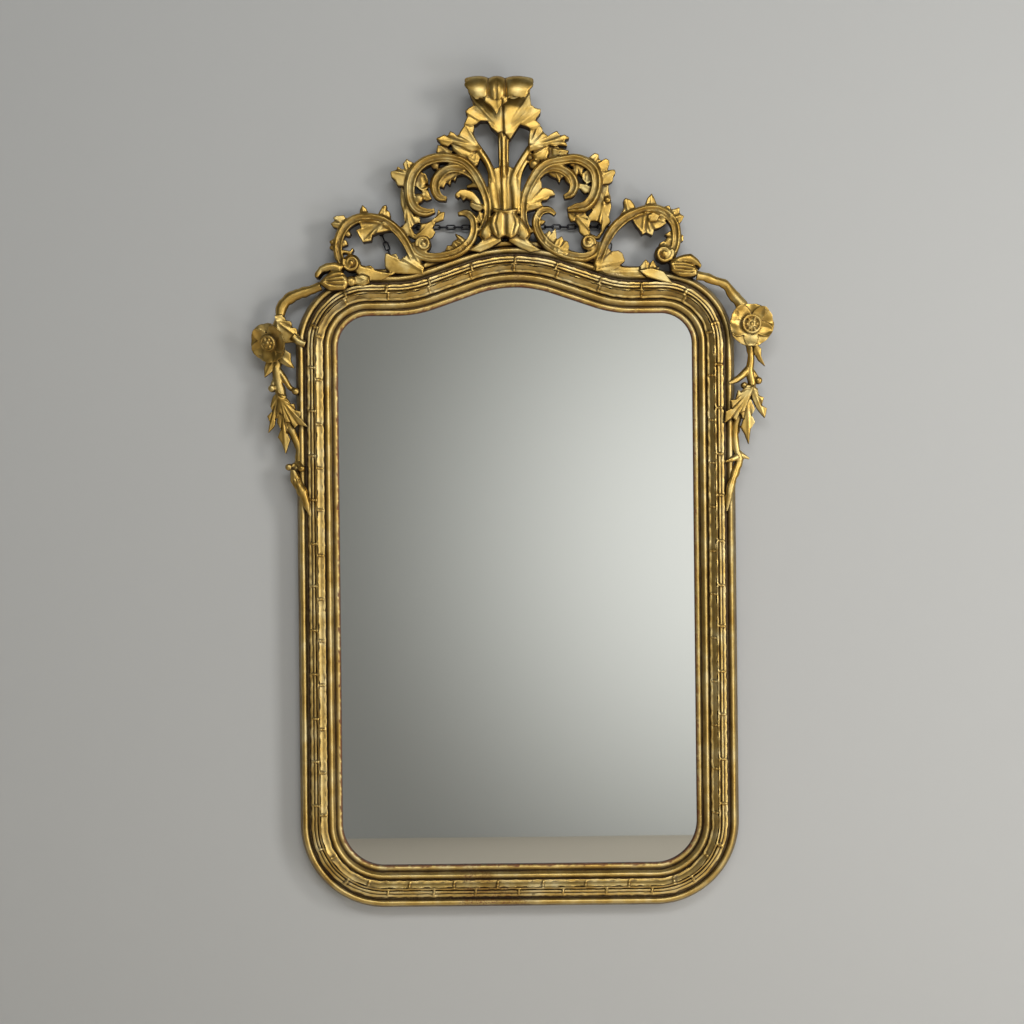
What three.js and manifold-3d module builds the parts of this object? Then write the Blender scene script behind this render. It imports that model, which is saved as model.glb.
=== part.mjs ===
// A carved and gilded wall mirror with an arched top, in millimetres.
// +Z is up, the front faces -Y and the wall is the plane Y = 0.
// The origin is on the flat back of the top rail, at mid-width, under the crown of the arch.

import * as THREE from "three";
import Module from "manifold-3d";
import { mergeVertices } from "three/addons/utils/BufferGeometryUtils.js";

const wasm = await Module();
wasm.setup();

// Driving dimensions of the moulded frame.
const RAIL_WIDTH = 84;
const SIGHT_HALF_WIDTH = 353;
const SIGHT_CROWN = -41;
const SIGHT_BOTTOM = -1190;
const CROWN_RUN = 76;
const SLOPE_RUN = 82;
const SWEEP_RUN = 78;
const ARCH_SLOPE = THREE.MathUtils.degToRad(19);
const SHOULDER_RADIUS = 62;
const FOOT_RADIUS = 84;
const RABBET_WIDTH = 12;
const RABBET_DEPTH = 24;
const FIT_GAP = 0.4;

// Glass and board, stacked in the rabbet from the front.
const GLASS_THICKNESS = 4;
const GLASS_LAP = 9;
const BOARD_THICKNESS = 8;
const BOARD_LAP = 11;

// The carving was drawn from in front, on the mirror as it hangs, a little out of true. It stands
// nearer the eye than the wall does, so it was drawn too large, and is brought back to size.
const HANG_TILT = THREE.MathUtils.degToRad(0.6);
const EYE_OFF_WALL = 3545;
const DRAWING_OFF_WALL = 12;
const CARVING_FACE = 56;
const DRAWN_IN = (EYE_OFF_WALL - CARVING_FACE) / (EYE_OFF_WALL - DRAWING_OFF_WALL);
const EYE = { across: -4, up: -489 };
const DRAWING_CENTRE = { across: 0, up: -492 };
const CARVING_BACK = 20;

// The chain and its eyes.
const WIRE = 3;
const LINK_WIDTH = 11.5;
const LINK_PITCH = 15;
const CHAIN_OFF_WALL = 9;
const EYE_RADIUS = 6;

const gold = new THREE.MeshStandardMaterial({ color: 0xb98a35, roughness: 0.38, metalness: 0.9 });
const paleGold = new THREE.MeshStandardMaterial({ color: 0xc99b45, roughness: 0.34, metalness: 0.9 });
const silvering = new THREE.MeshStandardMaterial({ color: 0xb8bab8, roughness: 0.05, metalness: 1 });
const oldPine = new THREE.MeshStandardMaterial({ color: 0x8a6a48, roughness: 0.8, metalness: 0 });
const darkSteel = new THREE.MeshStandardMaterial({ color: 0x35363a, roughness: 0.5, metalness: 0.8 });

// The frame's line

// One stretch of the sight edge, from a point and a heading, turning by an angle.
// The outward normal is always the heading turned a quarter to the left.
function walkStretch(stations, length, turn, steps) {
  const start = stations[stations.length - 1];
  for (let i = 1; i <= steps; i += 1) {
    const heading = start.heading + (turn * i) / steps;
    const share = i / steps;
    let dx = Math.cos(start.heading) * length * share;
    let dz = Math.sin(start.heading) * length * share;
    if (turn !== 0) {
      const radius = length / turn;
      dx = radius * (Math.sin(heading) - Math.sin(start.heading));
      dz = radius * (Math.cos(start.heading) - Math.cos(heading));
    }
    stations.push({ x: start.x + dx, z: start.z + dz, heading });
  }
}

// The right half of the sight edge, from the crown down to the middle of the bottom rail.
function halfSightEdge() {
  const arch = ARCH_SLOPE;
  const quarter = Math.PI / 2;
  const crownRadius = CROWN_RUN / Math.sin(arch);
  const sweepRadius = SWEEP_RUN / Math.sin(arch);
  const stations = [{ x: 0, z: SIGHT_CROWN, heading: 0 }];
  walkStretch(stations, crownRadius * arch, -arch, 3);
  walkStretch(stations, SLOPE_RUN / Math.cos(arch), 0, 1);
  walkStretch(stations, sweepRadius * arch, arch, 3);
  const shoulderRun = SIGHT_HALF_WIDTH - SHOULDER_RADIUS - CROWN_RUN - SLOPE_RUN - SWEEP_RUN;
  walkStretch(stations, shoulderRun, 0, 1);
  walkStretch(stations, SHOULDER_RADIUS * quarter, -quarter, 6);
  const corner = stations[stations.length - 1];
  walkStretch(stations, corner.z - SIGHT_BOTTOM - FOOT_RADIUS, 0, 1);
  walkStretch(stations, FOOT_RADIUS * quarter, -quarter, 6);
  walkStretch(stations, SIGHT_HALF_WIDTH - FOOT_RADIUS, 0, 1);
  return stations;
}

// All round: the right half, then its mirror image on the left, back to the crown.
function sightEdge() {
  const half = halfSightEdge();
  const left = half
    .slice(1, -1)
    .reverse()
    .map((s) => ({ x: -s.x, z: s.z, heading: -s.heading }));
  const right = half.map((s) => ({ ...s, nx: -Math.sin(s.heading), nz: Math.cos(s.heading) }));
  const mirrored = left.map((s) => ({ ...s, nx: -Math.sin(s.heading), nz: Math.cos(s.heading) }));
  return right.concat(mirrored);
}

const SIGHT = sightEdge();

// The moulding in section: distance out from the sight edge, and height off the wall.
const PROFILE = [
  [0, RABBET_DEPTH],
  [0, 29.5],
  [3, 32.6],
  [8, 32.4],
  [11, 31],
  [14, 39],
  [19.4, 43.8],
  [24, 41.2],
  [27, 36.4],
  [32, 44.6],
  [40, 50.6],
  [48, 53],
  [54.5, 50.8],
  [60, 39.8],
  [64, 37.4],
  [67, 43.2],
  [71, 46],
  [75, 44],
  [79, 34],
  [RAIL_WIDTH, 20],
  [RAIL_WIDTH, 0],
  [RABBET_WIDTH, 0],
  [RABBET_WIDTH, RABBET_DEPTH],
];

// The same section grown outwards all round, to cut clearance for whatever lies against the frame.
function grownProfile(gap) {
  const count = PROFILE.length;
  return PROFILE.map((point, i) => {
    const before = PROFILE[(i + count - 1) % count];
    const after = PROFILE[(i + 1) % count];
    const a = new THREE.Vector2(before[1] - point[1], point[0] - before[0]).normalize();
    const b = new THREE.Vector2(point[1] - after[1], after[0] - point[0]).normalize();
    const outward = a.add(b).normalize();
    return [point[0] + outward.x * gap, point[1] + outward.y * gap];
  });
}

// Solids

// A closed indexed mesh with its faces pointing out, whichever way it was wound.
function closedMesh(vertices, triangles) {
  let volume = 0;
  const [a, b, c] = [new THREE.Vector3(), new THREE.Vector3(), new THREE.Vector3()];
  for (const [i, j, k] of triangles) {
    a.fromArray(vertices[i]);
    b.fromArray(vertices[j]);
    c.fromArray(vertices[k]);
    volume += a.dot(b.cross(c));
  }
  const wound = volume < 0 ? triangles.map(([i, j, k]) => [i, k, j]) : triangles;
  const geometry = new THREE.BufferGeometry();
  geometry.setAttribute("position", new THREE.Float32BufferAttribute(vertices.flat(), 3));
  geometry.setIndex(wound.flat());
  return geometry;
}

// A skin of equal rings: closed in a loop when there are no end caps, capped flat otherwise.
function ringSkin(rings, capped) {
  const sides = rings[0].length;
  const triangles = [];
  const spans = capped ? rings.length - 1 : rings.length;
  for (let r = 0; r < spans; r += 1) {
    const next = (r + 1) % rings.length;
    for (let s = 0; s < sides; s += 1) {
      const t = (s + 1) % sides;
      triangles.push([r * sides + s, r * sides + t, next * sides + s]);
      triangles.push([r * sides + t, next * sides + t, next * sides + s]);
    }
  }
  if (capped) {
    const last = (rings.length - 1) * sides;
    for (let s = 1; s < sides - 1; s += 1) {
      triangles.push([0, s + 1, s]);
      triangles.push([last, last + s, last + s + 1]);
    }
  }
  return closedMesh(rings.flat(), triangles);
}

// A closed mesh as a solid that can be joined and cut.
function toSolid(geometry) {
  const bare = geometry.clone();
  bare.deleteAttribute("normal");
  bare.deleteAttribute("uv");
  const merged = mergeVertices(bare, 1e-4);
  const index = merged.index.array;
  const kept = [];
  for (let i = 0; i < index.length; i += 3) {
    const [a, b, c] = [index[i], index[i + 1], index[i + 2]];
    if (a !== b && b !== c && a !== c) kept.push(a, b, c);
  }
  const mesh = new wasm.Mesh({
    numProp: 3,
    vertProperties: new Float32Array(merged.attributes.position.array),
    triVerts: new Uint32Array(kept),
  });
  return new wasm.Manifold(mesh);
}

function toGeometry(solid) {
  const mesh = solid.getMesh();
  const geometry = new THREE.BufferGeometry();
  geometry.setAttribute("position", new THREE.BufferAttribute(mesh.vertProperties, 3));
  geometry.setIndex(new THREE.BufferAttribute(mesh.triVerts, 1));
  return geometry;
}

function joined(geometries) {
  return geometries.map(toSolid).reduce((whole, piece) => whole.add(piece));
}

// The largest connected body of a mesh, without the crumbs that a cut leaves loose.
function mainBody(geometry) {
  const index = geometry.index.array;
  const leader = Array.from({ length: geometry.attributes.position.count }, (_, i) => i);
  const find = (i) => {
    let place = i;
    while (leader[place] !== place) place = leader[place];
    leader[i] = place;
    return place;
  };
  for (let i = 0; i < index.length; i += 3) {
    leader[find(index[i + 1])] = find(index[i]);
    leader[find(index[i + 2])] = find(index[i]);
  }
  const bodies = new Map();
  for (let i = 0; i < index.length; i += 3) {
    const body = find(index[i]);
    if (!bodies.has(body)) bodies.set(body, []);
    bodies.get(body).push(index[i], index[i + 1], index[i + 2]);
  }
  const largest = [...bodies.values()].sort((a, b) => b.length - a.length)[0];
  geometry.setIndex(largest);
  return geometry;
}

function framed(profile) {
  const rings = SIGHT.map((s) =>
    profile.map(([out, height]) => [s.x + s.nx * out, -height, s.z + s.nz * out]),
  );
  return ringSkin(rings, false);
}

// A flat sheet cut to the sight edge's shape, lapping behind the frame.
function sheet(lap, front, thickness) {
  const outline = SIGHT.map((s) => new THREE.Vector2(s.x + s.nx * lap, s.z + s.nz * lap));
  const geometry = new THREE.ExtrudeGeometry(new THREE.Shape(outline), {
    depth: thickness,
    bevelEnabled: false,
  });
  geometry.rotateX(Math.PI / 2);
  geometry.translate(0, thickness - front, 0);
  return geometry;
}

// Carving

// Across and up on the hanging mirror, to the frame's own axes.
function hung(across, up) {
  const [c, s] = [Math.cos(HANG_TILT), Math.sin(HANG_TILT)];
  return [across * c + up * s, up * c - across * s];
}

// A place in the carving's drawing, to the frame's own axes.
function carvedAt(across, up) {
  const nearAcross = EYE.across + (across - DRAWING_CENTRE.across) * DRAWN_IN;
  const nearUp = EYE.up + (up - DRAWING_CENTRE.up) * DRAWN_IN;
  return hung(nearAcross, nearUp);
}

// A value read along a short list of evenly spaced ones.
function along(values, share) {
  if (values.length === 1) return values[0];
  const place = share * (values.length - 1);
  const i = Math.min(Math.floor(place), values.length - 2);
  return THREE.MathUtils.lerp(values[i], values[i + 1], place - i);
}

// Sections across a carved member: across from -1 to 1, and height from the back (0) to the front (1).
const SCROLL_SECTION = [
  [-1, 0],
  [-0.7, 1],
  [0.7, 1],
  [1, 0],
];
const LEAF_SECTION = [
  [-1, 0.3],
  [0, 1],
  [1, 0.3],
];
const STEM_SECTION = [
  [-1, 0.1],
  [0, 1],
  [1, 0.1],
];

// A member swept along a line on the carving's face. Points are across and up; widths and
// heights are read evenly along it, and lobes notch the edges of a leaf.
function member(section, line, widths, heights, { steps, lobes = 0, back = CARVING_BACK }) {
  const points = line.map(([across, up]) => {
    const [x, z] = carvedAt(across, up);
    return new THREE.Vector3(x, 0, z);
  });
  const curve = new THREE.CatmullRomCurve3(points, false, "centripetal");
  const rings = [];
  for (let i = 0; i <= steps; i += 1) {
    const share = i / steps;
    const place = curve.getPointAt(share);
    const run = curve.getTangentAt(share);
    const notch = lobes && i % 2 === 0 && i > 0 && i < steps ? 1 - lobes : 1;
    const half = Math.max((along(widths, share) / 2) * notch, 1);
    const front = along(heights, share);
    rings.push(
      section.map(([side, lift]) => [
        place.x - run.z * half * side,
        -(back + (front - back) * lift),
        place.z + run.x * half * side,
      ]),
    );
  }
  return ringSkin(rings, true);
}

function scroll(line, widths, heights, { steps = 9 } = {}) {
  return member(SCROLL_SECTION, line, widths, heights, { steps });
}

function leaf(line, widths, heights, { steps = 4, lobes = 0, back = CARVING_BACK } = {}) {
  return member(LEAF_SECTION, line, widths, heights, { steps, lobes, back });
}

function stem(line, widths, heights, { steps = 4, back = CARVING_BACK } = {}) {
  return member(STEM_SECTION, line, widths, heights, { steps, back });
}

// A flat pierced plate between the scrolls, cut to a closed outline.
function plate(outline, front, back = CARVING_BACK + 3) {
  const edge = outline.map(([across, up]) => new THREE.Vector2(...carvedAt(across, up)));
  const shape = new THREE.Shape(edge);
  const geometry = new THREE.ExtrudeGeometry(shape, { depth: front - back, bevelEnabled: false });
  geometry.rotateX(Math.PI / 2);
  geometry.translate(0, -back, 0);
  return geometry;
}

// A turned button, such as a volute's eye or a bud: a dome on a drum that reaches back.
function button(across, up, radius, front, { sides = 6 } = {}) {
  const back = CARVING_BACK + 2;
  const deep = front - back;
  const outline = [
    [0, 0],
    [radius, 0],
    [radius * 0.85, deep * 0.9],
    [0, deep],
  ].map(([out, lift]) => new THREE.Vector2(out, lift));
  const drum = new THREE.LatheGeometry(outline, sides);
  const [x, z] = carvedAt(across, up);
  drum.rotateX(Math.PI);
  drum.translate(x, -back, z);
  return drum;
}

// An open flower: a dish whose rim is notched between the petals, with a raised eye.
// It is turned left or right and tipped up or down from facing straight out.
function flower(across, up, radius, front, petals, turned, tipped) {
  const stepsPerPetal = 3;
  const outline = [
    [0, -radius * 0.5],
    [radius * 0.55, -radius * 0.35],
    [radius, radius * 0.1],
    [radius * 0.9, radius * 0.22],
    [radius * 0.45, -radius * 0.02],
    [radius * 0.38, radius * 0.2],
    [0, radius * 0.24],
  ].map(([out, lift]) => new THREE.Vector2(out, lift));
  const dish = new THREE.LatheGeometry(outline, petals * stepsPerPetal);
  const place = dish.attributes.position;
  for (let i = 0; i < place.count; i += 1) {
    const [x, z] = [place.getX(i), place.getZ(i)];
    const out = Math.hypot(x, z);
    const inPetal = Math.cos(Math.atan2(z, x) * petals);
    const trim = out > radius * 0.5 ? 0.9 + 0.1 * inPetal : 1;
    place.setX(i, x * trim);
    place.setZ(i, z * trim);
  }
  const [x, z] = carvedAt(across, up);
  dish.rotateX(Math.PI / 2);
  dish.rotateX(Math.PI / 2 + tipped);
  dish.rotateZ(turned);
  dish.translate(x, -front, z);
  return dish;
}

// A broad leaf that rolls forward over the top: it is swept up and over in the plane across the
// face, from points of height off the wall and level, with its breadth lying across the carving.
function rolledLeaf(centre, arc, widths) {
  const thickness = 11;
  const points = arc.map(([height, up]) => new THREE.Vector3(0, -height, up));
  const curve = new THREE.CatmullRomCurve3(points, false, "centripetal");
  const steps = 7;
  const rings = [];
  for (let i = 0; i <= steps; i += 1) {
    const share = i / steps;
    const place = curve.getPointAt(share);
    const run = curve.getTangentAt(share);
    const half = along(widths, share) / 2;
    const [x, z] = carvedAt(centre, place.z);
    const [outY, outZ] = [-run.z * thickness, run.y * thickness];
    const flank = [
      [-half, 0.4],
      [-half * 0.3, 1],
      [half * 0.3, 1],
      [half, 0.4],
      [half, 0],
      [-half, 0],
    ];
    rings.push(flank.map(([side, lift]) => [x + side, place.y + outY * lift, z + outZ * lift]));
  }
  return ringSkin(rings, true);
}

// The frame's own space, from which everything laid against it is cut clear.
const clearance = toSolid(framed(grownProfile(FIT_GAP)));

// Joins a carving's members and cuts away whatever would run into the frame.
function carved(members) {
  return mainBody(toGeometry(joined(members).subtract(clearance)));
}

// The crest

// The three stems of the palmette, its side leaves and the plume that rolls forward on top.
function palmette() {
  return [
    leaf([[-12, 96], [-14, 130], [-15, 166], [-16, 200]], [58, 66, 62, 40], [58, 56, 52, 48]),
    stem([[-15, 180], [-15, 220], [-14, 262]], [20, 18, 22], [50, 48, 48], { steps: 3 }),
    stem([[-28, 176], [-36, 198], [-52, 226], [-70, 240]], [18, 18, 20, 22], [50, 48, 46, 42]),
    stem([[0, 176], [6, 198], [24, 226], [42, 240]], [18, 18, 20, 22], [50, 48, 46, 42]),
    leaf([[-58, 228], [-92, 246], [-122, 258], [-154, 254]], [30, 58, 44, 8], [46, 50, 46, 36], {
      steps: 8,
      lobes: 0.25,
    }),
    leaf([[-84, 236], [-98, 224], [-104, 212]], [34, 26, 8], [42, 40, 36], { steps: 2 }),
    leaf([[30, 228], [60, 244], [86, 256], [114, 260]], [30, 56, 42, 8], [46, 50, 46, 36], {
      steps: 8,
      lobes: 0.25,
    }),
    leaf([[48, 240], [66, 226], [70, 214]], [34, 26, 8], [42, 40, 36], { steps: 2 }),
    leaf([[-17, 252], [-16, 290], [-18, 322], [-22, 350]], [30, 84, 108, 122], [50, 52, 52, 52]),
    leaf([[-22, 294], [-56, 300], [-78, 302], [-97, 300]], [40, 42, 34, 14], [50, 48, 44, 36]),
    leaf([[-56, 292], [-80, 286], [-97, 283]], [20, 18, 5], [44, 42, 36], { steps: 3 }),
    leaf([[0, 296], [28, 300], [46, 306], [58, 312]], [40, 42, 30, 8], [50, 48, 44, 36]),
    leaf([[16, 284], [38, 280], [57, 284]], [18, 18, 5], [44, 42, 36], { steps: 3 }),
    rolledLeaf(-26, [[44, 316], [45, 338], [52, 358], [66, 371], [80, 363], [84, 342], [82, 323]], [
      108, 118, 126, 128, 126, 120,
    ]),
    leaf([[-32, 334], [-31, 316], [-31, 296]], [44, 30, 5], [90, 88, 84], { steps: 3, back: 68 }),
  ];
}

// The fluted cup at the foot of the palmette and the low leaves that spread from it.
function calyx() {
  return [
    leaf([[-12, 112], [-12, 84], [-12, 56]], [56, 56, 14], [64, 66, 62], { steps: 4 }),
    leaf([[-28, 108], [-32, 84], [-38, 60]], [26, 30, 10], [60, 62, 58], { steps: 3 }),
    leaf([[4, 108], [10, 84], [18, 58]], [26, 30, 10], [60, 62, 58], { steps: 3 }),
    stem([[-44, 112], [-12, 110], [20, 112]], [8, 8, 8], [66, 70, 66], { steps: 2 }),
    leaf([[-20, 62], [-48, 52], [-82, 34]], [18, 18, 8], [58, 56, 50], { steps: 3 }),
    leaf([[-4, 60], [26, 50], [58, 32]], [18, 18, 8], [58, 56, 50], { steps: 3 }),
    leaf([[-72, 38], [-60, 58], [-50, 76]], [12, 20, 6], [52, 52, 46], { steps: 3 }),
    leaf([[48, 36], [36, 56], [30, 76]], [12, 20, 6], [52, 52, 46], { steps: 3 }),
  ];
}

// The left pair of C-scrolls with their leaves, volute and pierced plate.
function leftScrolls() {
  return [
    scroll(
      [[-62, 60], [-50, 102], [-48, 136], [-60, 178], [-84, 208], [-114, 220], [-148, 222], [-182, 208],
        [-206, 180], [-212, 150], [-204, 124], [-184, 110], [-164, 108], [-152, 122]],
      [16, 19, 20, 20, 20, 19, 16, 12],
      [46, 50, 56, 60, 60, 56, 52, 46],
      { steps: 11 },
    ),
    scroll(
      [[-58, 170], [-78, 192], [-104, 200], [-134, 196], [-154, 178], [-160, 152], [-148, 138],
      [-134, 134]],
      [12, 15, 16, 17, 17, 15, 9],
      [46, 54, 58, 58, 54, 50, 42],
      { steps: 7 },
    ),
    scroll(
      [[-168, 62], [-188, 66], [-204, 46], [-198, 22], [-168, 12], [-130, 18], [-98, 38], [-76, 72],
        [-68, 102], [-80, 118], [-104, 110]],
      [8, 9, 11, 13, 14, 15, 15, 12, 5],
      [46, 46, 46, 48, 50, 50, 48, 42, 36],
    ),
    scroll(
      [[-176, 8], [-206, 34], [-226, 64], [-256, 90], [-288, 102], [-320, 98], [-344, 76], [-354, 50],
        [-352, 20], [-338, -2], [-318, -6], [-308, 10]],
      [12, 15, 16, 17, 17, 16, 14, 9],
      [44, 50, 54, 56, 54, 52, 48, 44],
      { steps: 11 },
    ),
    button(-181, 43, 15, 54),
    button(-324, 8, 13, 52),
    button(-154, 202, 9, 48),
    button(-182, 138, 10, 48),
    plate(
      [[-212, 168], [-224, 150], [-222, 120], [-216, 96], [-222, 80], [-208, 64], [-196, 70],
      [-186, 70],
        [-186, 58], [-160, 56], [-156, 74], [-158, 88], [-138, 98], [-136, 112], [-150, 108], [-160, 110],
        [-190, 112], [-204, 130]],
      30,
    ),
    leaf([[-196, 180], [-222, 192], [-240, 188]], [48, 46, 14], [50, 48, 36], { steps: 6, lobes: 0.3 }),
    leaf([[-132, 212], [-136, 230], [-140, 246]], [30, 28, 8], [50, 48, 38], { steps: 4, lobes: 0.3 }),
    leaf([[-66, 186], [-74, 208], [-76, 234]], [16, 22, 8], [50, 50, 40], { steps: 3 }),
    leaf([[-52, 122], [-66, 142], [-90, 156], [-116, 144]], [22, 30, 30, 5], [48, 52, 50, 38]),
    leaf([[-162, 200], [-184, 178], [-186, 156]], [12, 20, 8], [46, 46, 40], { steps: 3 }),
    leaf([[-122, 200], [-126, 184], [-120, 172]], [40, 30, 6], [46, 44, 36], { steps: 3 }),
    leaf([[-92, 30], [-104, 46], [-112, 68]], [22, 24, 6], [46, 46, 36], { steps: 4, lobes: 0.3 }),
    leaf([[-98, 26], [-122, 30], [-150, 26]], [20, 18, 6], [44, 42, 36], { steps: 3 }),
    leaf([[-60, 90], [-50, 116], [-66, 128]], [14, 16, 8], [44, 44, 40], { steps: 3 }),
    leaf([[-296, 100], [-296, 122]], [22, 5], [48, 36], { steps: 2 }),
    leaf([[-258, 90], [-254, 108], [-252, 124]], [30, 20, 6], [48, 44, 36], { steps: 3 }),
    leaf([[-330, 84], [-346, 90], [-360, 88]], [28, 26, 8], [48, 46, 36], { steps: 3 }),
    leaf([[-350, 44], [-368, 44]], [22, 8], [46, 36], { steps: 2 }),
    leaf([[-240, 80], [-266, 90], [-288, 80], [-290, 54]],
      [14, 26, 30, 10], [48, 56, 54, 40], { steps: 5 }),
    leaf([[-344, 56], [-330, 52], [-322, 38]], [24, 16, 5], [46, 42, 36], { steps: 2 }),
    leaf([[-176, -2], [-212, 8], [-248, 12]], [18, 34, 28], [46, 48, 40], { steps: 4, lobes: 0.2 }),
    leaf([[-220, -10], [-262, -6], [-304, 8]], [22, 18, 10], [44, 44, 40]),
    leaf([[-250, -14], [-290, -16], [-320, -24]], [16, 20, 14], [50, 54, 50], { steps: 3 }),
    leaf([[-318, -2], [-350, 4], [-376, 0], [-394, -22]],
      [14, 18, 16, 6], [48, 58, 60, 50], { steps: 5 }),
    leaf([[-312, -16], [-348, -22], [-386, -36]], [24, 34, 6], [52, 64, 54], { steps: 4 }),
    leaf([[-320, -26], [-344, -42], [-362, -52]], [20, 22, 8], [54, 62, 54], { steps: 3 }),
  ];
}

// The right pair of C-scrolls, cut by the same hand but not to the same lines.
function rightScrolls() {
  return [
    scroll(
      [[30, 60], [20, 96], [20, 124], [26, 150], [44, 184], [68, 204], [98, 214], [128, 214],
      [154, 202],
        [170, 180], [174, 152], [168, 130], [152, 112], [132, 108], [122, 122]],
      [14, 17, 19, 20, 20, 19, 17, 12],
      [46, 50, 56, 60, 60, 56, 52, 46],
      { steps: 11 },
    ),
    scroll(
      [[30, 170], [52, 190], [76, 200], [104, 194], [124, 176], [130, 154], [118, 138], [106, 136]],
      [12, 15, 16, 17, 17, 15, 9],
      [46, 54, 58, 58, 54, 50, 42],
      { steps: 7 },
    ),
    scroll(
      [[142, 68], [162, 68], [178, 52], [172, 30], [150, 18], [114, 20], [80, 30], [60, 52], [46, 78],
        [46, 104], [60, 116], [84, 110]],
      [8, 9, 11, 13, 14, 15, 15, 12, 5],
      [46, 46, 46, 48, 50, 50, 48, 42, 36],
    ),
    scroll(
      [[164, 10], [194, 58], [220, 96], [246, 116], [278, 122], [308, 114], [330, 90], [334, 60],
      [330, 30],
        [312, 10], [292, 16], [288, 32]],
      [12, 15, 16, 18, 18, 16, 14, 9],
      [44, 50, 54, 56, 54, 52, 48, 44],
      { steps: 11 },
    ),
    button(154, 48, 15, 54),
    button(306, 26, 14, 52),
    button(116, 204, 9, 48),
    plate(
      [[176, 188], [194, 190], [208, 188], [204, 174], [194, 166], [194, 120], [192, 96], [200, 88],
      [188, 84],
        [192, 72], [182, 62], [176, 84], [164, 90], [158, 72], [138, 66], [136, 78], [128, 90], [114, 94],
        [110, 112], [124, 110], [150, 106], [168, 124], [172, 150]],
      30,
    ),
    leaf([[158, 186], [176, 204], [190, 218]], [46, 44, 14], [50, 48, 36], { steps: 6, lobes: 0.3 }),
    leaf([[94, 206], [96, 228], [96, 246]], [34, 36, 14], [50, 48, 38], { steps: 4, lobes: 0.3 }),
    leaf([[34, 176], [32, 200], [36, 218]], [16, 26, 12], [50, 50, 40], { steps: 3 }),
    leaf([[22, 124], [38, 142], [62, 150], [88, 144]], [22, 34, 30, 5], [48, 52, 50, 38]),
    leaf([[134, 202], [150, 182], [150, 160]], [14, 20, 8], [46, 46, 40], { steps: 3 }),
    leaf([[84, 202], [94, 186], [98, 172]], [36, 26, 6], [46, 44, 36], { steps: 3 }),
    leaf([[68, 34], [70, 54], [78, 78]], [20, 24, 8], [46, 46, 36], { steps: 4, lobes: 0.3 }),
    leaf([[110, 20], [104, 42], [96, 60]], [30, 32, 8], [44, 42, 36], { steps: 4, lobes: 0.2 }),
    leaf([[36, 90], [28, 110], [34, 124]], [14, 16, 8], [44, 44, 40], { steps: 3 }),
    leaf([[230, 102], [230, 120], [226, 136]], [28, 20, 8], [48, 44, 36], { steps: 3 }),
    leaf([[278, 116], [280, 132], [278, 146]], [26, 20, 5], [48, 44, 36], { steps: 3 }),
    leaf([[316, 98], [330, 106], [340, 108]], [32, 26, 10], [48, 46, 36], { steps: 3 }),
    leaf([[226, 98], [254, 106], [272, 92], [272, 66]],
      [14, 26, 30, 14], [48, 56, 54, 40], { steps: 5 }),
    leaf([[322, 60], [308, 54], [296, 42]], [24, 16, 6], [46, 42, 36], { steps: 2 }),
    leaf([[160, 4], [196, 14], [226, 16]], [18, 34, 26], [46, 48, 40], { steps: 4, lobes: 0.2 }),
    leaf([[190, -2], [240, -8], [282, -8]], [16, 14, 14], [44, 44, 42]),
    leaf([[262, 8], [280, 0], [298, -2]], [18, 18, 14], [50, 52, 48], { steps: 2 }),
    leaf([[268, -4], [296, -14], [324, -34]], [14, 20, 5], [52, 58, 52], { steps: 4 }),
    leaf([[300, 0], [334, 18], [358, 18], [378, -4]], [14, 16, 16, 6], [48, 58, 60, 50], { steps: 5 }),
    leaf([[304, -2], [336, 0], [370, -8]], [24, 34, 14], [52, 64, 54], { steps: 4 }),
    leaf([[312, -8], [332, -18], [352, -26]], [16, 18, 8], [54, 62, 54], { steps: 3 }),
  ];
}

// The strip that the carving stands on, bent to the top of the frame between the shoulders.
function footStrip() {
  const reach = SIGHT_HALF_WIDTH - SHOULDER_RADIUS;
  const stations = SIGHT.filter((s) => Math.abs(s.x) <= reach + 1 && s.z > SIGHT_BOTTOM / 2);
  stations.sort((a, b) => a.x - b.x);
  const [low, high] = [RAIL_WIDTH - 3, RAIL_WIDTH + 6];
  const [back, front] = [CARVING_BACK, 40];
  const corners = [
    [low, back],
    [high, back],
    [high, front],
    [low, front],
  ];
  const rings = stations.map((s) =>
    corners.map(([out, height]) => [s.x + s.nx * out, -height, s.z + s.nz * out]),
  );
  return ringSkin(rings, true);
}

// The side sprays

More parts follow.
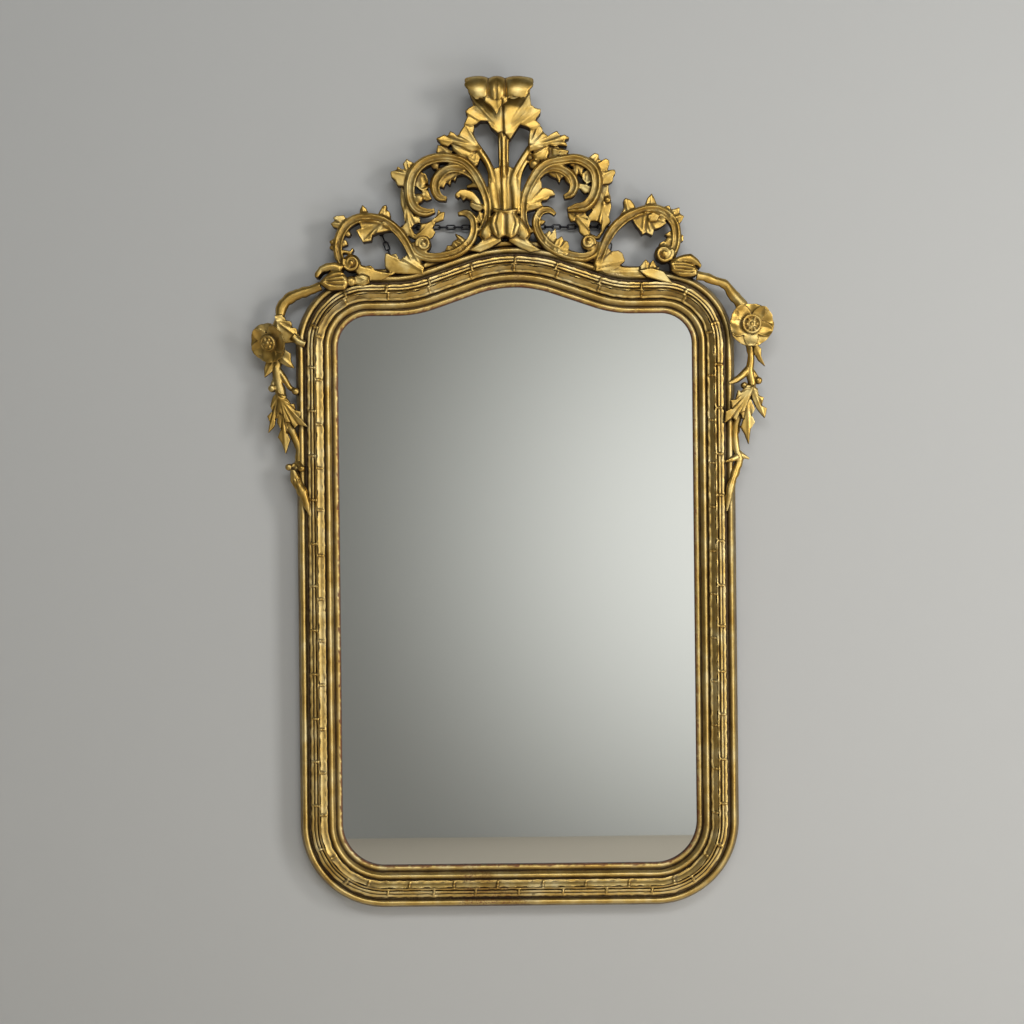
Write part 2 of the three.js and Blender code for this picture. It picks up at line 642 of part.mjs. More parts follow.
function leftSpray() {
  return [
    stem([[-394, -42], [-418, -48], [-444, -58], [-460, -74], [-468, -92], [-462, -108]],
      [16, 18, 22, 20, 20, 16], [
      40, 42, 44, 44, 44, 44,
    ]),
    leaf([[-466, -100], [-446, -126], [-420, -160]],
      [18, 30, 18], [46, 56, 58], { steps: 4, lobes: 0.2 }),
    flower(-488, -152, 40, 62, 5, -0.5, 0.35),
    stem([[-462, -100], [-474, -150], [-474, -190]], [16, 26, 14], [44, 52, 44], { steps: 2 }),
    leaf([[-470, -176], [-446, -186], [-432, -202]], [26, 26, 8], [46, 44, 36], { steps: 3 }),
    leaf([[-480, -190], [-494, -202], [-494, -220]], [14, 10, 5], [44, 40, 34], { steps: 2 }),
    stem([[-474, -184], [-472, -214], [-468, -240], [-462, -270]], [14, 18, 20, 16], [42, 46, 46, 44]),
    stem([[-470, -220], [-452, -246], [-434, -250]], [10, 10, 8], [42, 44, 42], { steps: 3 }),
    button(-434, -250, 8, 50),
    button(-482, -246, 8, 46),
    stem([[-474, -222], [-480, -236], [-482, -246]], [8, 8, 8], [40, 42, 40], { steps: 2 }),
    leaf([[-472, -258], [-476, -294], [-490, -330]],
      [18, 22, 6], [46, 48, 36], { steps: 5, lobes: 0.2 }),
    leaf([[-466, -262], [-440, -292], [-408, -322]],
      [20, 38, 10], [48, 60, 60], { steps: 5, lobes: 0.2 }),
    leaf([[-460, -296], [-460, -336], [-454, -374]], [18, 22, 5], [44, 46, 36], { steps: 4 }),
    stem([[-452, -290], [-442, -330], [-430, -364], [-430, -390], [-436, -412]],
      [14, 16, 14, 12, 14], [42, 44, 44, 42, 42]),
    stem([[-432, -396], [-446, -402]], [10, 10], [40, 44], { steps: 2 }),
    button(-447, -402, 7, 46),
    leaf([[-432, -394], [-420, -402], [-412, -414]], [10, 14, 8], [44, 60, 60], { steps: 2 }),
    stem([[-436, -404], [-430, -432], [-418, -456], [-412, -476], [-407, -498]],
      [14, 22, 20, 14, 5], [42, 56, 60, 58, 52]),
  ];
}

function rightSpray() {
  return [
    stem([[376, -20], [400, -26], [424, -32], [440, -50], [454, -72], [462, -90]],
      [14, 15, 16, 16, 18, 16], [
      56, 48, 44, 44, 46, 46,
    ]),
    flower(478, -118, 45, 68, 5, 0.1, 0),
    stem([[460, -84], [476, -118], [478, -156]], [16, 28, 14], [46, 58, 44], { steps: 2 }),
    leaf([[462, -152], [446, -168], [432, -182]], [22, 20, 6], [44, 50, 52], { steps: 3 }),
    leaf([[488, -156], [500, -174], [506, -196]], [24, 20, 5], [46, 44, 36], { steps: 3 }),
    stem([[478, -150], [480, -184], [478, -208], [482, -236], [480, -262]],
      [12, 10, 12, 14, 12], [42, 44, 46, 46, 44]),
    stem([[478, -202], [464, -220], [444, -230], [434, -230]],
      [12, 12, 10, 7], [42, 46, 52, 52], { steps: 4 }),
    stem([[480, -206], [490, -222], [494, -226]], [9, 9, 9], [42, 44, 42], { steps: 2 }),
    button(495, -226, 7, 46),
    button(468, -238, 7, 52),
    leaf([[480, -238], [456, -272], [426, -312]], [18, 38, 6], [46, 58, 58], { steps: 6, lobes: 0.2 }),
    leaf([[482, -240], [500, -268], [506, -300]], [20, 26, 6], [46, 48, 36], { steps: 5, lobes: 0.2 }),
    leaf([[470, -258], [474, -312], [474, -354]], [20, 36, 5], [46, 52, 36], { steps: 6, lobes: 0.2 }),
    stem([[468, -268], [452, -316], [450, -348], [454, -372], [456, -394], [444, -420], [434, -448],
      [430, -486]], [
      12, 14, 18, 14, 18, 16, 18, 8,
    ], [44, 46, 46, 46, 48, 54, 58, 52], { steps: 10 }),
    stem([[454, -374], [474, -384]], [16, 5], [44, 38], { steps: 2 }),
    stem([[454, -380], [430, -392]], [16, 6], [50, 54], { steps: 2 }),
  ];
}

// The chain

// The height of the frame's outer edge above a place across it, on the arch.
function railTop(across) {
  const edge = SIGHT.filter((s) => s.z > SIGHT_BOTTOM / 2)
    .map((s) => [s.x + s.nx * RAIL_WIDTH, s.z + s.nz * RAIL_WIDTH])
    .sort((a, b) => a[0] - b[0]);
  const after = edge.findIndex(([x]) => x > across);
  const [[x0, z0], [x1, z1]] = [edge[after - 1], edge[after]];
  return THREE.MathUtils.lerp(z0, z1, (across - x0) / (x1 - x0));
}

// One link between two joints, flat to the wall or turned on edge. Its ends overlap its
// neighbours' by a hair, so that the chain is one body.
function link(from, to, onEdge) {
  const bite = 0.25;
  const run = to.clone().sub(from);
  const halfHole = run.length() / 2 - bite;
  run.normalize();
  const wall = new THREE.Vector3(0, 1, 0);
  const side = onEdge ? wall : run.clone().cross(wall).normalize();
  const face = run.clone().cross(side).normalize();
  const centre = from.clone().add(to).multiplyScalar(0.5);
  const bend = (LINK_WIDTH - WIRE) / 2;
  const wireHalf = halfHole + WIRE / 2;
  const path = [
    [wireHalf, bend],
    [-wireHalf, bend],
    [-wireHalf, -bend],
    [wireHalf, -bend],
  ];
  const rings = path.map(([lengthwise, sideways]) => {
    const place = centre.clone().addScaledVector(run, lengthwise).addScaledVector(side, sideways);
    const out = run.clone().multiplyScalar(Math.sign(lengthwise));
    out.addScaledVector(side, Math.sign(sideways));
    return [0, 1, 2].map((corner) => {
      const turn = Math.PI + (corner * Math.PI * 2) / 3;
      const spot = place.clone().addScaledVector(out, (WIRE / 2) * Math.cos(turn));
      return spot.addScaledVector(face, (WIRE / 2) * Math.sin(turn)).toArray();
    });
  });
  return ringSkin(rings, false);
}

// The chain hangs from two places on the wall: it climbs from one eye, runs level, and drops to
// the other.
function chainJoints(corners) {
  const joints = [corners[0]];
  for (let i = 1; i < corners.length; i += 1) {
    const count = Math.round(corners[i - 1].distanceTo(corners[i]) / LINK_PITCH);
    for (let k = 1; k <= count; k += 1) {
      joints.push(corners[i - 1].clone().lerp(corners[i], k / count));
    }
  }
  return joints;
}

// A screw eye: a ring with a short shank down to the frame's outer edge. It stands on edge to
// the wall where the chain's end link lies flat, and the other way about.
function screwEye(centre, pull, onEdge) {
  const rings = [];
  const wall = new THREE.Vector3(0, 1, 0);
  const sideways = pull.clone().cross(wall);
  const [breadth, across] = onEdge ? [wall, sideways] : [sideways, wall];
  const segments = 10;
  for (let i = 0; i < segments; i += 1) {
    const turn = (i / segments) * Math.PI * 2;
    const out = pull.clone().multiplyScalar(Math.cos(turn)).addScaledVector(breadth, Math.sin(turn));
    const place = centre.clone().addScaledVector(out, EYE_RADIUS);
    rings.push(
      [0, 1, 2, 3].map((corner) => {
        const roll = (corner * Math.PI) / 2;
        const spot = place.clone().addScaledVector(out, (WIRE / 2) * Math.cos(roll));
        return spot.addScaledVector(across, (WIRE / 2) * Math.sin(roll)).toArray();
      }),
    );
  }
  const foot = railTop(centre.x) - WIRE;
  const head = centre.z - EYE_RADIUS + 1;
  const shank = new THREE.CylinderGeometry(WIRE / 2, WIRE / 2, head - foot, 6);
  shank.rotateX(Math.PI / 2);
  shank.translate(centre.x, centre.y, (head + foot) / 2);
  return toGeometry(joined([ringSkin(rings, false), shank]).subtract(clearance));
}

// The finished pieces

const LEFT_EYE = [-240, 6];
const LEFT_HOOK = [-270, 80];
const RIGHT_HOOK = [198, 82];
const RIGHT_EYE = [186, 16];

function onWall([across, up]) {
  const [x, z] = hung(across, up);
  return new THREE.Vector3(x, -CHAIN_OFF_WALL, z);
}

const corners = [LEFT_EYE, LEFT_HOOK, RIGHT_HOOK, RIGHT_EYE].map(onWall);
const joints = chainJoints(corners);
const chainSolid = joined(joints.slice(1).map((to, i) => link(joints[i], to, i % 2 === 1)));

// The pull of the chain at each end, and the eye set back from its last link by a hair's breadth.
const EYE_STANDOFF = EYE_RADIUS - WIRE / 2 - 0.8;
const leftPull = joints[1].clone().sub(joints[0]).normalize();
const lastJoint = joints[joints.length - 1];
const rightPull = joints[joints.length - 2].clone().sub(lastJoint).normalize();
const leftEye = screwEye(joints[0].clone().addScaledVector(leftPull, -EYE_STANDOFF), leftPull, true);
const lastLinkFlat = joints.length % 2 === 0;
const rightCentre = lastJoint.clone().addScaledVector(rightPull, -EYE_STANDOFF);
const rightEye = screwEye(rightCentre, rightPull, lastLinkFlat);

const boardFront = RABBET_DEPTH - 2 * FIT_GAP - GLASS_THICKNESS;
const pieces = [
  ["frame", framed(PROFILE), gold],
  ["mirror_glass", sheet(GLASS_LAP, RABBET_DEPTH - FIT_GAP, GLASS_THICKNESS), silvering],
  ["backboard", sheet(BOARD_LAP, boardFront, BOARD_THICKNESS), oldPine],
  [
    "crest",
    carved([...palmette(), ...calyx(), ...leftScrolls(), ...rightScrolls(), footStrip()]),
    paleGold,
  ],
  ["left_spray", carved(leftSpray()), gold],
  ["right_spray", carved(rightSpray()), gold],
  ["hanging_chain", toGeometry(chainSolid), darkSteel],
  ["left_screw_eye", leftEye, darkSteel],
  ["right_screw_eye", rightEye, darkSteel],
];

const mirror = new THREE.Group();
for (const [name, geometry, material] of pieces) {
  const mesh = new THREE.Mesh(geometry, material);
  mesh.name = name;
  mirror.add(mesh);
}

export default mirror;
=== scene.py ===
# %% [markdown]
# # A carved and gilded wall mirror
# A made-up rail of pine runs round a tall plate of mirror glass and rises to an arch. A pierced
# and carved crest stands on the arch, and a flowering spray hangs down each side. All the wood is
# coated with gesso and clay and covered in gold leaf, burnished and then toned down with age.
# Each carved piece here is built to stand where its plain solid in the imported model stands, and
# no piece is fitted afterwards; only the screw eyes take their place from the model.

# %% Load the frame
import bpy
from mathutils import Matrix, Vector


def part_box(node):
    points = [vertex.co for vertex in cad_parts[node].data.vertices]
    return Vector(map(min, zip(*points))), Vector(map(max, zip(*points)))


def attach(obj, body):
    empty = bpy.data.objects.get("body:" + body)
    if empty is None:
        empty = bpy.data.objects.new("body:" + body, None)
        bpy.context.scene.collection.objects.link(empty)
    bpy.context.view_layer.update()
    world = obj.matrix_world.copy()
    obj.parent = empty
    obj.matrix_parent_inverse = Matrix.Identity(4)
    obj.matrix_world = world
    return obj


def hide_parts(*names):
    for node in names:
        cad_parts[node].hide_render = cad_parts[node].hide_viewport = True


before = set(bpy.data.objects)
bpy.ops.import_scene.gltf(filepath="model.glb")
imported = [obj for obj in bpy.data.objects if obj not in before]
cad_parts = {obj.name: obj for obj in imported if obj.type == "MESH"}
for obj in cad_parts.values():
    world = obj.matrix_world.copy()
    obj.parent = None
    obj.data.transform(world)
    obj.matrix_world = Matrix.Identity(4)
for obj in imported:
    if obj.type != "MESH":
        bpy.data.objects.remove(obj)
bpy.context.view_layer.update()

# %% [markdown]
# Sizes are in millimetres, because a carver's are, and MM turns them to metres. The mirror hangs
# a little out of true, so the carving was measured "across" and "up" on a mirror leaning by a
# small angle. One function turns such a place to the frame's own X and Z. Heights are off the wall.

# %% Units and the lean of the mirror
import math

import bpy
import numpy as np
from mathutils import Matrix, Vector, kdtree

MM = 0.001
HANG_TILT = math.radians(0.6)
VIEW_CENTRE = (-4, -489)
DRAWING_CENTRE = (0, -492)
CAMERA_OFF = 3545
VIEW_ACROSS = 2048
VIEW_PLANE = 12
CARVING_FACE = 56
DRAWN_IN = (CAMERA_OFF - CARVING_FACE) / (CAMERA_OFF - VIEW_PLANE)
CARVING_BACK = 20


def hung(across, up):
    """Across and up on the hanging mirror, to X and Z in millimetres."""
    cosine, sine = math.cos(HANG_TILT), math.sin(HANG_TILT)
    return across * cosine + up * sine, up * cosine - across * sine


def carved_at(across, up):
    """A place in the carving's drawing. Carving stands nearer the eye, so it was drawn too large."""
    near_across = VIEW_CENTRE[0] + (across - DRAWING_CENTRE[0]) * DRAWN_IN
    near_up = VIEW_CENTRE[1] + (up - DRAWING_CENTRE[1]) * DRAWN_IN
    return hung(near_across, near_up)


def drawn_at(x, z):
    """The way back: from X and Z to the place in the drawing."""
    cosine, sine = math.cos(HANG_TILT), math.sin(HANG_TILT)
    near_across, near_up = x * cosine - z * sine, x * sine + z * cosine
    across = DRAWING_CENTRE[0] + (near_across - VIEW_CENTRE[0]) / DRAWN_IN
    return across, DRAWING_CENTRE[1] + (near_up - VIEW_CENTRE[1]) / DRAWN_IN


# %% [markdown]
# The photograph was taken straight on, from the height of the middle of the glass. A long lens
# keeps the rails parallel. The camera is rolled by the small angle that the mirror leans, which
# stands the mirror itself up straight in its own frame.

# %% Camera
SENSOR = 36


def place_camera():
    across, up = hung(*VIEW_CENTRE)
    right = Vector((math.cos(HANG_TILT), 0, -math.sin(HANG_TILT)))
    above = Vector((math.sin(HANG_TILT), 0, math.cos(HANG_TILT)))
    turn = Matrix((right, above, Vector((0, -1, 0)))).transposed().to_4x4()
    data = bpy.data.cameras.new("camera")
    data.sensor_width = SENSOR
    data.lens = SENSOR * (CAMERA_OFF - VIEW_PLANE) / VIEW_ACROSS
    camera = bpy.data.objects.new("camera", data)
    bpy.context.scene.collection.objects.link(camera)
    camera.matrix_world = Matrix.Translation(Vector((across, -CAMERA_OFF, up)) * MM) @ turn
    bpy.context.scene.camera = camera
    return camera


camera = place_camera()
print("lens", round(camera.data.lens, 1), "mm")

# %% [markdown]
# Every piece starts as one of Blender's own primitives. A grid is the carver's blank: it has rows
# of points that can be laid along any line, so it becomes a length of moulding, a scroll or a
# leaf. Its two long edges are then merged and its ends filled, which makes it a closed solid.

# %% Helpers: lines and blanks


def deselect():
    if bpy.context.object and bpy.context.object.mode != "OBJECT":
        bpy.ops.object.mode_set(mode="OBJECT")
    bpy.ops.object.select_all(action="DESELECT")


def choose(pieces):
    deselect()
    for piece in pieces:
        piece.select_set(True)
    bpy.context.view_layer.objects.active = pieces[0]


def smooth_line(points, count):
    """Evenly spaced places, and the run at each, on a smooth line through a few points."""
    spots = np.array(points, float)
    spots = np.vstack([2 * spots[0] - spots[1], spots, 2 * spots[-1] - spots[-2]])
    knots = np.concatenate([[0], np.cumsum(np.linalg.norm(np.diff(spots, axis=0), axis=1) ** 0.5)])
    fine = []
    for i in range(1, len(spots) - 2):
        p0, p1, p2, p3 = spots[i - 1 : i + 3]
        t0, t1, t2, t3 = knots[i - 1 : i + 3]
        t = np.linspace(t1, t2, 24, endpoint=False)[:, None]
        a1 = (t1 - t) / (t1 - t0) * p0 + (t - t0) / (t1 - t0) * p1
        a2 = (t2 - t) / (t2 - t1) * p1 + (t - t1) / (t2 - t1) * p2
        a3 = (t3 - t) / (t3 - t2) * p2 + (t - t2) / (t3 - t2) * p3
        b1 = (t2 - t) / (t2 - t0) * a1 + (t - t0) / (t2 - t0) * a2
        b2 = (t3 - t) / (t3 - t1) * a2 + (t - t1) / (t3 - t1) * a3
        fine.append((t2 - t) / (t2 - t1) * b1 + (t - t1) / (t2 - t1) * b2)
    fine = np.vstack(fine + [spots[-2][None]])
    reach = np.concatenate([[0], np.cumsum(np.linalg.norm(np.diff(fine, axis=0), axis=1))])
    wanted = np.linspace(0, reach[-1], count)
    places = np.stack([np.interp(wanted, reach, fine[:, k]) for k in range(fine.shape[1])], axis=1)
    runs = np.gradient(places, axis=0)
    runs /= np.linalg.norm(runs, axis=1)[:, None]
    return places, runs, reach[-1]


def read(values, shares):
    """A short list of evenly spaced values, read smoothly at each share from 0 to 1."""
    values = np.array(values, float)
    if len(values) == 1:
        return np.full(len(shares), values[0])
    place = shares * (len(values) - 1)
    low = np.minimum(place.astype(int), len(values) - 2)
    part = place - low
    eased = part * part * (3 - 2 * part)
    mixed = 0.5 * (part + eased)
    return values[low] * (1 - mixed) + values[low + 1] * mixed


def grid_blank(name, rows, columns, places):
    """A grid primitive whose points are laid at the given places, in millimetres."""
    deselect()
    bpy.ops.mesh.primitive_grid_add(x_subdivisions=columns - 1, y_subdivisions=rows - 1, size=1)
    blank = bpy.context.object
    blank.name = name
    blank.data.vertices.foreach_set("co", (places.reshape(-1, 3) * MM).astype(np.float32).ravel())
    return blank


WELD = 0.02 * MM


def close_blank(blank):
    """Merges the seam, fills the open ends, and turns the faces outwards."""
    choose([blank])
    bpy.ops.object.mode_set(mode="EDIT")
    bpy.ops.mesh.select_all(action="SELECT")
    bpy.ops.mesh.remove_doubles(threshold=WELD)
    bpy.ops.mesh.select_all(action="DESELECT")
    bpy.ops.mesh.select_mode(type="VERT")
    bpy.ops.mesh.select_non_manifold(extend=False, use_wire=False, use_multi_face=False)
    bpy.ops.mesh.fill_holes(sides=0)
    bpy.ops.mesh.select_all(action="SELECT")
    bpy.ops.mesh.normals_make_consistent(inside=False)
    bpy.ops.object.mode_set(mode="OBJECT")
    return blank


def placed(across, up, height):
    """Places in the carving's drawing and heights off the wall, to the frame's X, Y and Z."""
    x, z = carved_at(np.asarray(across), np.asarray(up))
    return np.stack(np.broadcast_arrays(x, -np.asarray(height, float), z), axis=-1)


# %% [markdown]
# The rail is a run of moulding. A joiner planes its profile on straight lengths and bandsaws the
# curved ones. Here one profile is laid along the sight edge: the crown's arc, a straight slope, a
# hollow sweep, the round shoulder, the side and the foot.

# %% The line of the sight edge
SIGHT_HALF_WIDTH = 353
SIGHT_CROWN = -41
SIGHT_BOTTOM = -1190
CROWN_RUN = 76
SLOPE_RUN = 82
SWEEP_RUN = 78
ARCH_SLOPE = math.radians(19)
SHOULDER_RADIUS = 62
FOOT_RADIUS = 84
STATION_GAP = 1.0


def half_sight_edge():
    """Stretches of the right half, each with its length and the angle that it turns."""
    quarter = math.pi / 2
    flat = SIGHT_HALF_WIDTH - SHOULDER_RADIUS - CROWN_RUN - SLOPE_RUN - SWEEP_RUN
    drop = (CROWN_RUN + SWEEP_RUN) * math.tan(ARCH_SLOPE / 2) + SLOPE_RUN * math.tan(ARCH_SLOPE)
    side = SIGHT_CROWN - drop - SHOULDER_RADIUS - SIGHT_BOTTOM - FOOT_RADIUS
    return [
        (CROWN_RUN / math.sin(ARCH_SLOPE) * ARCH_SLOPE, -ARCH_SLOPE),
        (SLOPE_RUN / math.cos(ARCH_SLOPE), 0),
        (SWEEP_RUN / math.sin(ARCH_SLOPE) * ARCH_SLOPE, ARCH_SLOPE),
        (flat, 0),
        (SHOULDER_RADIUS * quarter, -quarter),
        (side, 0),
        (FOOT_RADIUS * quarter, -quarter),
        (SIGHT_HALF_WIDTH - FOOT_RADIUS, 0),
    ]


def walk_sight_edge():
    """Fine places and headings all round, clockwise from the crown, and the distance walked."""
    stretches = half_sight_edge()
    stretches = stretches + stretches[::-1]
    headings = []
    heading = 0.0
    for length, turn in stretches:
        steps = max(2, round(length / STATION_GAP))
        headings += [(heading + turn * (k + 0.5) / steps, length / steps) for k in range(steps)]
        heading += turn
    angle, step = np.array(headings).T
    x = np.concatenate([[0], np.cumsum(np.cos(angle) * step)])
    z = SIGHT_CROWN + np.concatenate([[0], np.cumsum(np.sin(angle) * step)])
    walked = np.concatenate([[0], np.cumsum(step)])
    middles = np.concatenate([[walked[0]], (walked[1:] + walked[:-1]) / 2, [walked[-1]]])
    turned = np.interp(walked, middles, np.concatenate([[0], angle, [-2 * math.pi]]))
    return walked, x, z, turned


walked, sight_x, sight_z, sight_heading = walk_sight_edge()
GIRTH = walked[-1]
print("round the sight edge", round(GIRTH), "mm, closing to",
      np.round([sight_x[-1], sight_z[-1] - SIGHT_CROWN], 3))

# %% [markdown]
# The middle of the rail is a cushion carved with two rows of long sunken cells, like brickwork.
# Thin ribs of gesso stand between them. They were run by hand, so they wander, swell where they
# meet, and no two cells are quite alike. The ribs are real relief here, because they catch the
# light along their whole length.

# %% The rail's profile and its brickwork
PROFILE = [ (0, 24), (0, 29.5), (1.2, 31.5), (3.6, 32.8), (6.2, 33.2), (8.6, 32.4), (10.2, 31), (11.2, 31),
           (12.2, 33.6), (13.2, 37), (14.8, 40.4), (17, 42.8), (19.4, 43.8), (21.8, 43.2), (24, 41.4),
           (25.6, 39.4), (27, 38.4), (28.4, 39.4), (29.8, 41.8), (32, 44.6), (36, 48), (40, 50.6),
           (44, 52.3), (48, 53), (51.5, 52.6), (54.5, 50.8), (57, 47.6), (58.6, 43.4), (60.2, 41),
           (62.2, 39.6), (64, 39.4), (65.2, 40.4), (66.2, 42.2), (67.8, 44.6), (70, 46), (72.4, 46.2),
           (74.6, 45.2), (76.4, 43), (77.8, 39.6), (79.4, 34.5), (81.4, 29), (83.4, 24.5), (84, 20),
           (84, 0), (12, 0), (12, 24), ]
BRICK = 86.8
ROW_EDGES = (30.4, 43, 56.2)
ROW_MIDDLES = (36.7, 49.6)
RIB_HALF = 1.4
RIB_RISE = 3.0
RIB_SIDE_CUT = 0.45
CELL_SINK = 1.5
CARVED_FROM = 27
CARVED_TO = 62
BAND_FROM = 27.5
BAND_TO = 60
BAND_STEP = 1.0
PLAIN_STEP = 3.2
PLAIN_BELOW = 30
FRONT_ABOVE = 26
NEAR_RIB = 5
RIB_STATION = 1.15
CELL_STATION = 5.0


def wander(along, wavelength, seed, closing=GIRTH):
    """A smooth hand-made wobble from -1 to 1 that meets itself after one turn round the frame."""
    draw = np.random.default_rng(seed)
    waves = max(1, round(closing / wavelength))
    total = np.zeros_like(along)
    for harmonic in (1, 1.7, 2.6):
        count = round(waves * harmonic)
        total += np.sin(2 * math.pi * count * along / closing + draw.uniform(0, 2 * math.pi)) / harmonic
    return total / 1.9


def row_walk(out):
    """How far one has gone along a row that lies at a distance out from the sight edge."""
    x = sight_x - np.sin(sight_heading) * out
    z = sight_z + np.cos(sight_heading) * out
    return np.concatenate([[0], np.cumsum(np.hypot(np.diff(x), np.diff(z)))])


row_walks = [row_walk(out) for out in ROW_MIDDLES]


def cross_ribs(along, row):
    """The gap to the nearest cross rib of a row. A rib of the outer row stands at the bottom's middle."""
    reach = row_walks[row]
    count = round(reach[-1] / BRICK)
    pitch = reach[-1] / count
    shifts = np.random.default_rng(40 + row).uniform(-3, 3, count)
    centres = reach[-1] / 2 + (np.arange(count) + 0.5 * (row == 0)) * pitch + shifts
    gap = np.interp(along, walked, reach)[:, None] - centres[None, :]
    gap = (gap + reach[-1] / 2) % reach[-1] - reach[-1] / 2
    nearest = np.argmin(np.abs(gap), axis=1)
    return np.take_along_axis(gap, nearest[:, None], axis=1)[:, 0]


def rib(distance, half=RIB_HALF):
    """A rounded rib with a fine cut down each side."""
    away = np.abs(distance) / half
    return np.exp(-(away**2)) - RIB_SIDE_CUT * np.exp(-(((away - 2.3) / 0.8) ** 2))


def brickwork(along, out):
    """The relief of the ribs and cells, at each station along and each distance out."""
    lift = np.zeros((len(along), len(out)))
    edges = [edge + 0.5 * wander(along, 38, 7 + k) for k, edge in enumerate(ROW_EDGES)]
    for row in range(2):
        low, high = edges[row][:, None], edges[row + 1][:, None]
        inside = (out[None, :] > low) & (out[None, :] < high)
        middle, half_row = (low + high) / 2, (high - low) / 2
        aside = np.abs(out[None, :] - middle) / half_row
        slant = 0.10 * (out[None, :] - low)
        flare = 2.2 * np.clip(aside - 0.5, 0, 1) ** 2
        gap = cross_ribs(along, row)[:, None] - slant + flare
        ends = np.clip((np.abs(gap) - 2.5) / 3, 0, 1)
        sunk = CELL_SINK / RIB_RISE * np.clip(1 - aside**5, 0, 1) * ends
        bar = rib(gap, RIB_HALF * (1.5 + 0.8 * aside**4))
        lift = np.where(inside, np.maximum(bar, 0) - sunk + np.minimum(bar, 0), lift)
    swell = 1 + 0.3 * wander(along, 23, 21)[:, None]
    for edge in edges:
        line = rib(out[None, :] - edge[:, None])
        lift = np.where(line > 0, np.maximum(lift, line * swell), np.minimum(lift, lift + line))
    flank = (out[None, :] > edges[2][:, None] + 0.6) & (out[None, :] < 61)
    notch = np.exp(-((cross_ribs(along, 0)[:, None] / 2.2) ** 2)) * flank
    return RIB_RISE * (lift - notch)


def rail_columns():
    """The profile read finely: about a millimetre apart on the band, coarser on the plain parts."""
    profile = np.array(PROFILE, float)
    rows = []
    for (d0, h0), (d1, h1) in zip(profile[:-1], profile[1:]):
        on_band = BAND_FROM <= (d0 + d1) / 2 <= BAND_TO
        length = math.hypot(d1 - d0, h1 - h0)
        step = BAND_STEP if on_band else PLAIN_STEP
        count = max(1, round(length / step)) if h0 + h1 > 2 * PLAIN_BELOW else 1
        rows += [(d0 + (d1 - d0) * k / count, h0 + (h1 - h0) * k / count) for k in range(count)]
    rows.append(tuple(profile[-1]))
    return np.array(rows)


def rail_stations():
    """Places along the rail, close together at each cross rib and wider between them."""
    near = np.minimum(np.abs(cross_ribs(walked[:-1], 0)), np.abs(cross_ribs(walked[:-1], 1)))
    weight = np.where(near < NEAR_RIB, 1 / RIB_STATION, 1 / CELL_STATION)
    total = np.concatenate([[0], np.cumsum(weight * np.diff(walked))])
    wanted = np.linspace(0, total[-1], int(total[-1]) + 1)[:-1]
    return np.interp(wanted, total, walked)


def make_rail():
    columns = rail_columns()
    along = rail_stations()
    x = np.interp(along, walked, sight_x)
    z = np.interp(along, walked, sight_z)
    heading = np.interp(along, walked, sight_heading)
    outward = np.stack([-np.sin(heading), np.cos(heading)], axis=1)
    out, height = columns[:, 0], columns[:, 1]
    tops = height > FRONT_ABOVE
    run = np.maximum(np.hypot(np.gradient(out), np.gradient(height)), 1e-6)
    slope, inward = np.gradient(height) / run, np.gradient(out) / run
    on_band = (out > CARVED_FROM) & (out < CARVED_TO) & tops
    carved_depth = np.where(on_band, brickwork(along, out), 0)
    uneven = 0.5 * wander(along, 150, 3)[:, None] * np.sin(out / 9)[None, :]
    uneven = uneven + 0.3 * wander(along, 60, 4)[:, None] * np.cos(out / 6)[None, :]
    relief = carved_depth + np.where(tops & (out > 3), uneven, 0)
    far = out[None, :] - slope[None, :] * relief
    off = height[None, :] + inward[None, :] * relief
    places = np.stack(
        [x[:, None] + outward[:, :1] * far, -off, z[:, None] + outward[:, 1:] * far], axis=-1
    )
    wrapped = np.concatenate([places, places[:1]], axis=0)
    wrapped = np.concatenate([wrapped, wrapped[:, :1]], axis=1)
    rail = grid_blank("gilded_frame", wrapped.shape[0], wrapped.shape[1], wrapped)
    carved_depth = np.pad(carved_depth, ((0, 1), (0, 1)), mode="wrap")
    rail.data.attributes.new("relief", "FLOAT", "POINT").data.foreach_set("value", carved_depth.ravel())
    close_blank(rail)
    return rail


rail = make_rail()
print("rail", len(rail.data.vertices), "points", 2 * len(rail.data.polygons), "triangles")

# %% [markdown]
# The carved work is made of a few kinds of member. A band is a C-scroll: its outer flank slopes
# away, a thin rim runs along it, and a hollow lies between that rim and the inner edge. A blade is
# a leaf sawn to its outline and then modelled: its edge is eased, each point of the edge has a
# ridge running to the root and each notch has a cut between two ridges. A stem is a plain round
# rod and a dome is a boss or a bud.

# %% Carved members
carved_now = []
modelled_now = []

BAND_SECTION = [ (-0.84, "back"), (-1.0, 0.95), (-0.99, 0.62), (-0.88, 0.36), (-0.66, 0.13), (-0.48, 0.0),
                (-0.36, 0.01), (-0.24, 0.16), (-0.06, 0.32), (0.16, 0.38), (0.4, 0.34), (0.6, 0.2),
                (0.74, 0.06), (0.86, 0.06), (0.98, 0.3), (1.0, 0.8), (0.84, "back"), ]


def swept(name, line, section_rows):
    """Lays a closed section along a line: section_rows gives sideways and height, row by row."""
    places, runs, _ = line
    sideways, height = section_rows
    across = places[:, :1] - runs[:, 1:2] * sideways
    up = places[:, 1:2] + runs[:, :1] * sideways
    rows = placed(across, up, height)
    rows = np.concatenate([rows, rows[:, :1]], axis=1)
    blank = grid_blank(name, rows.shape[0], rows.shape[1], rows)
    close_blank(blank)
    carved_now.append(blank)
    return blank


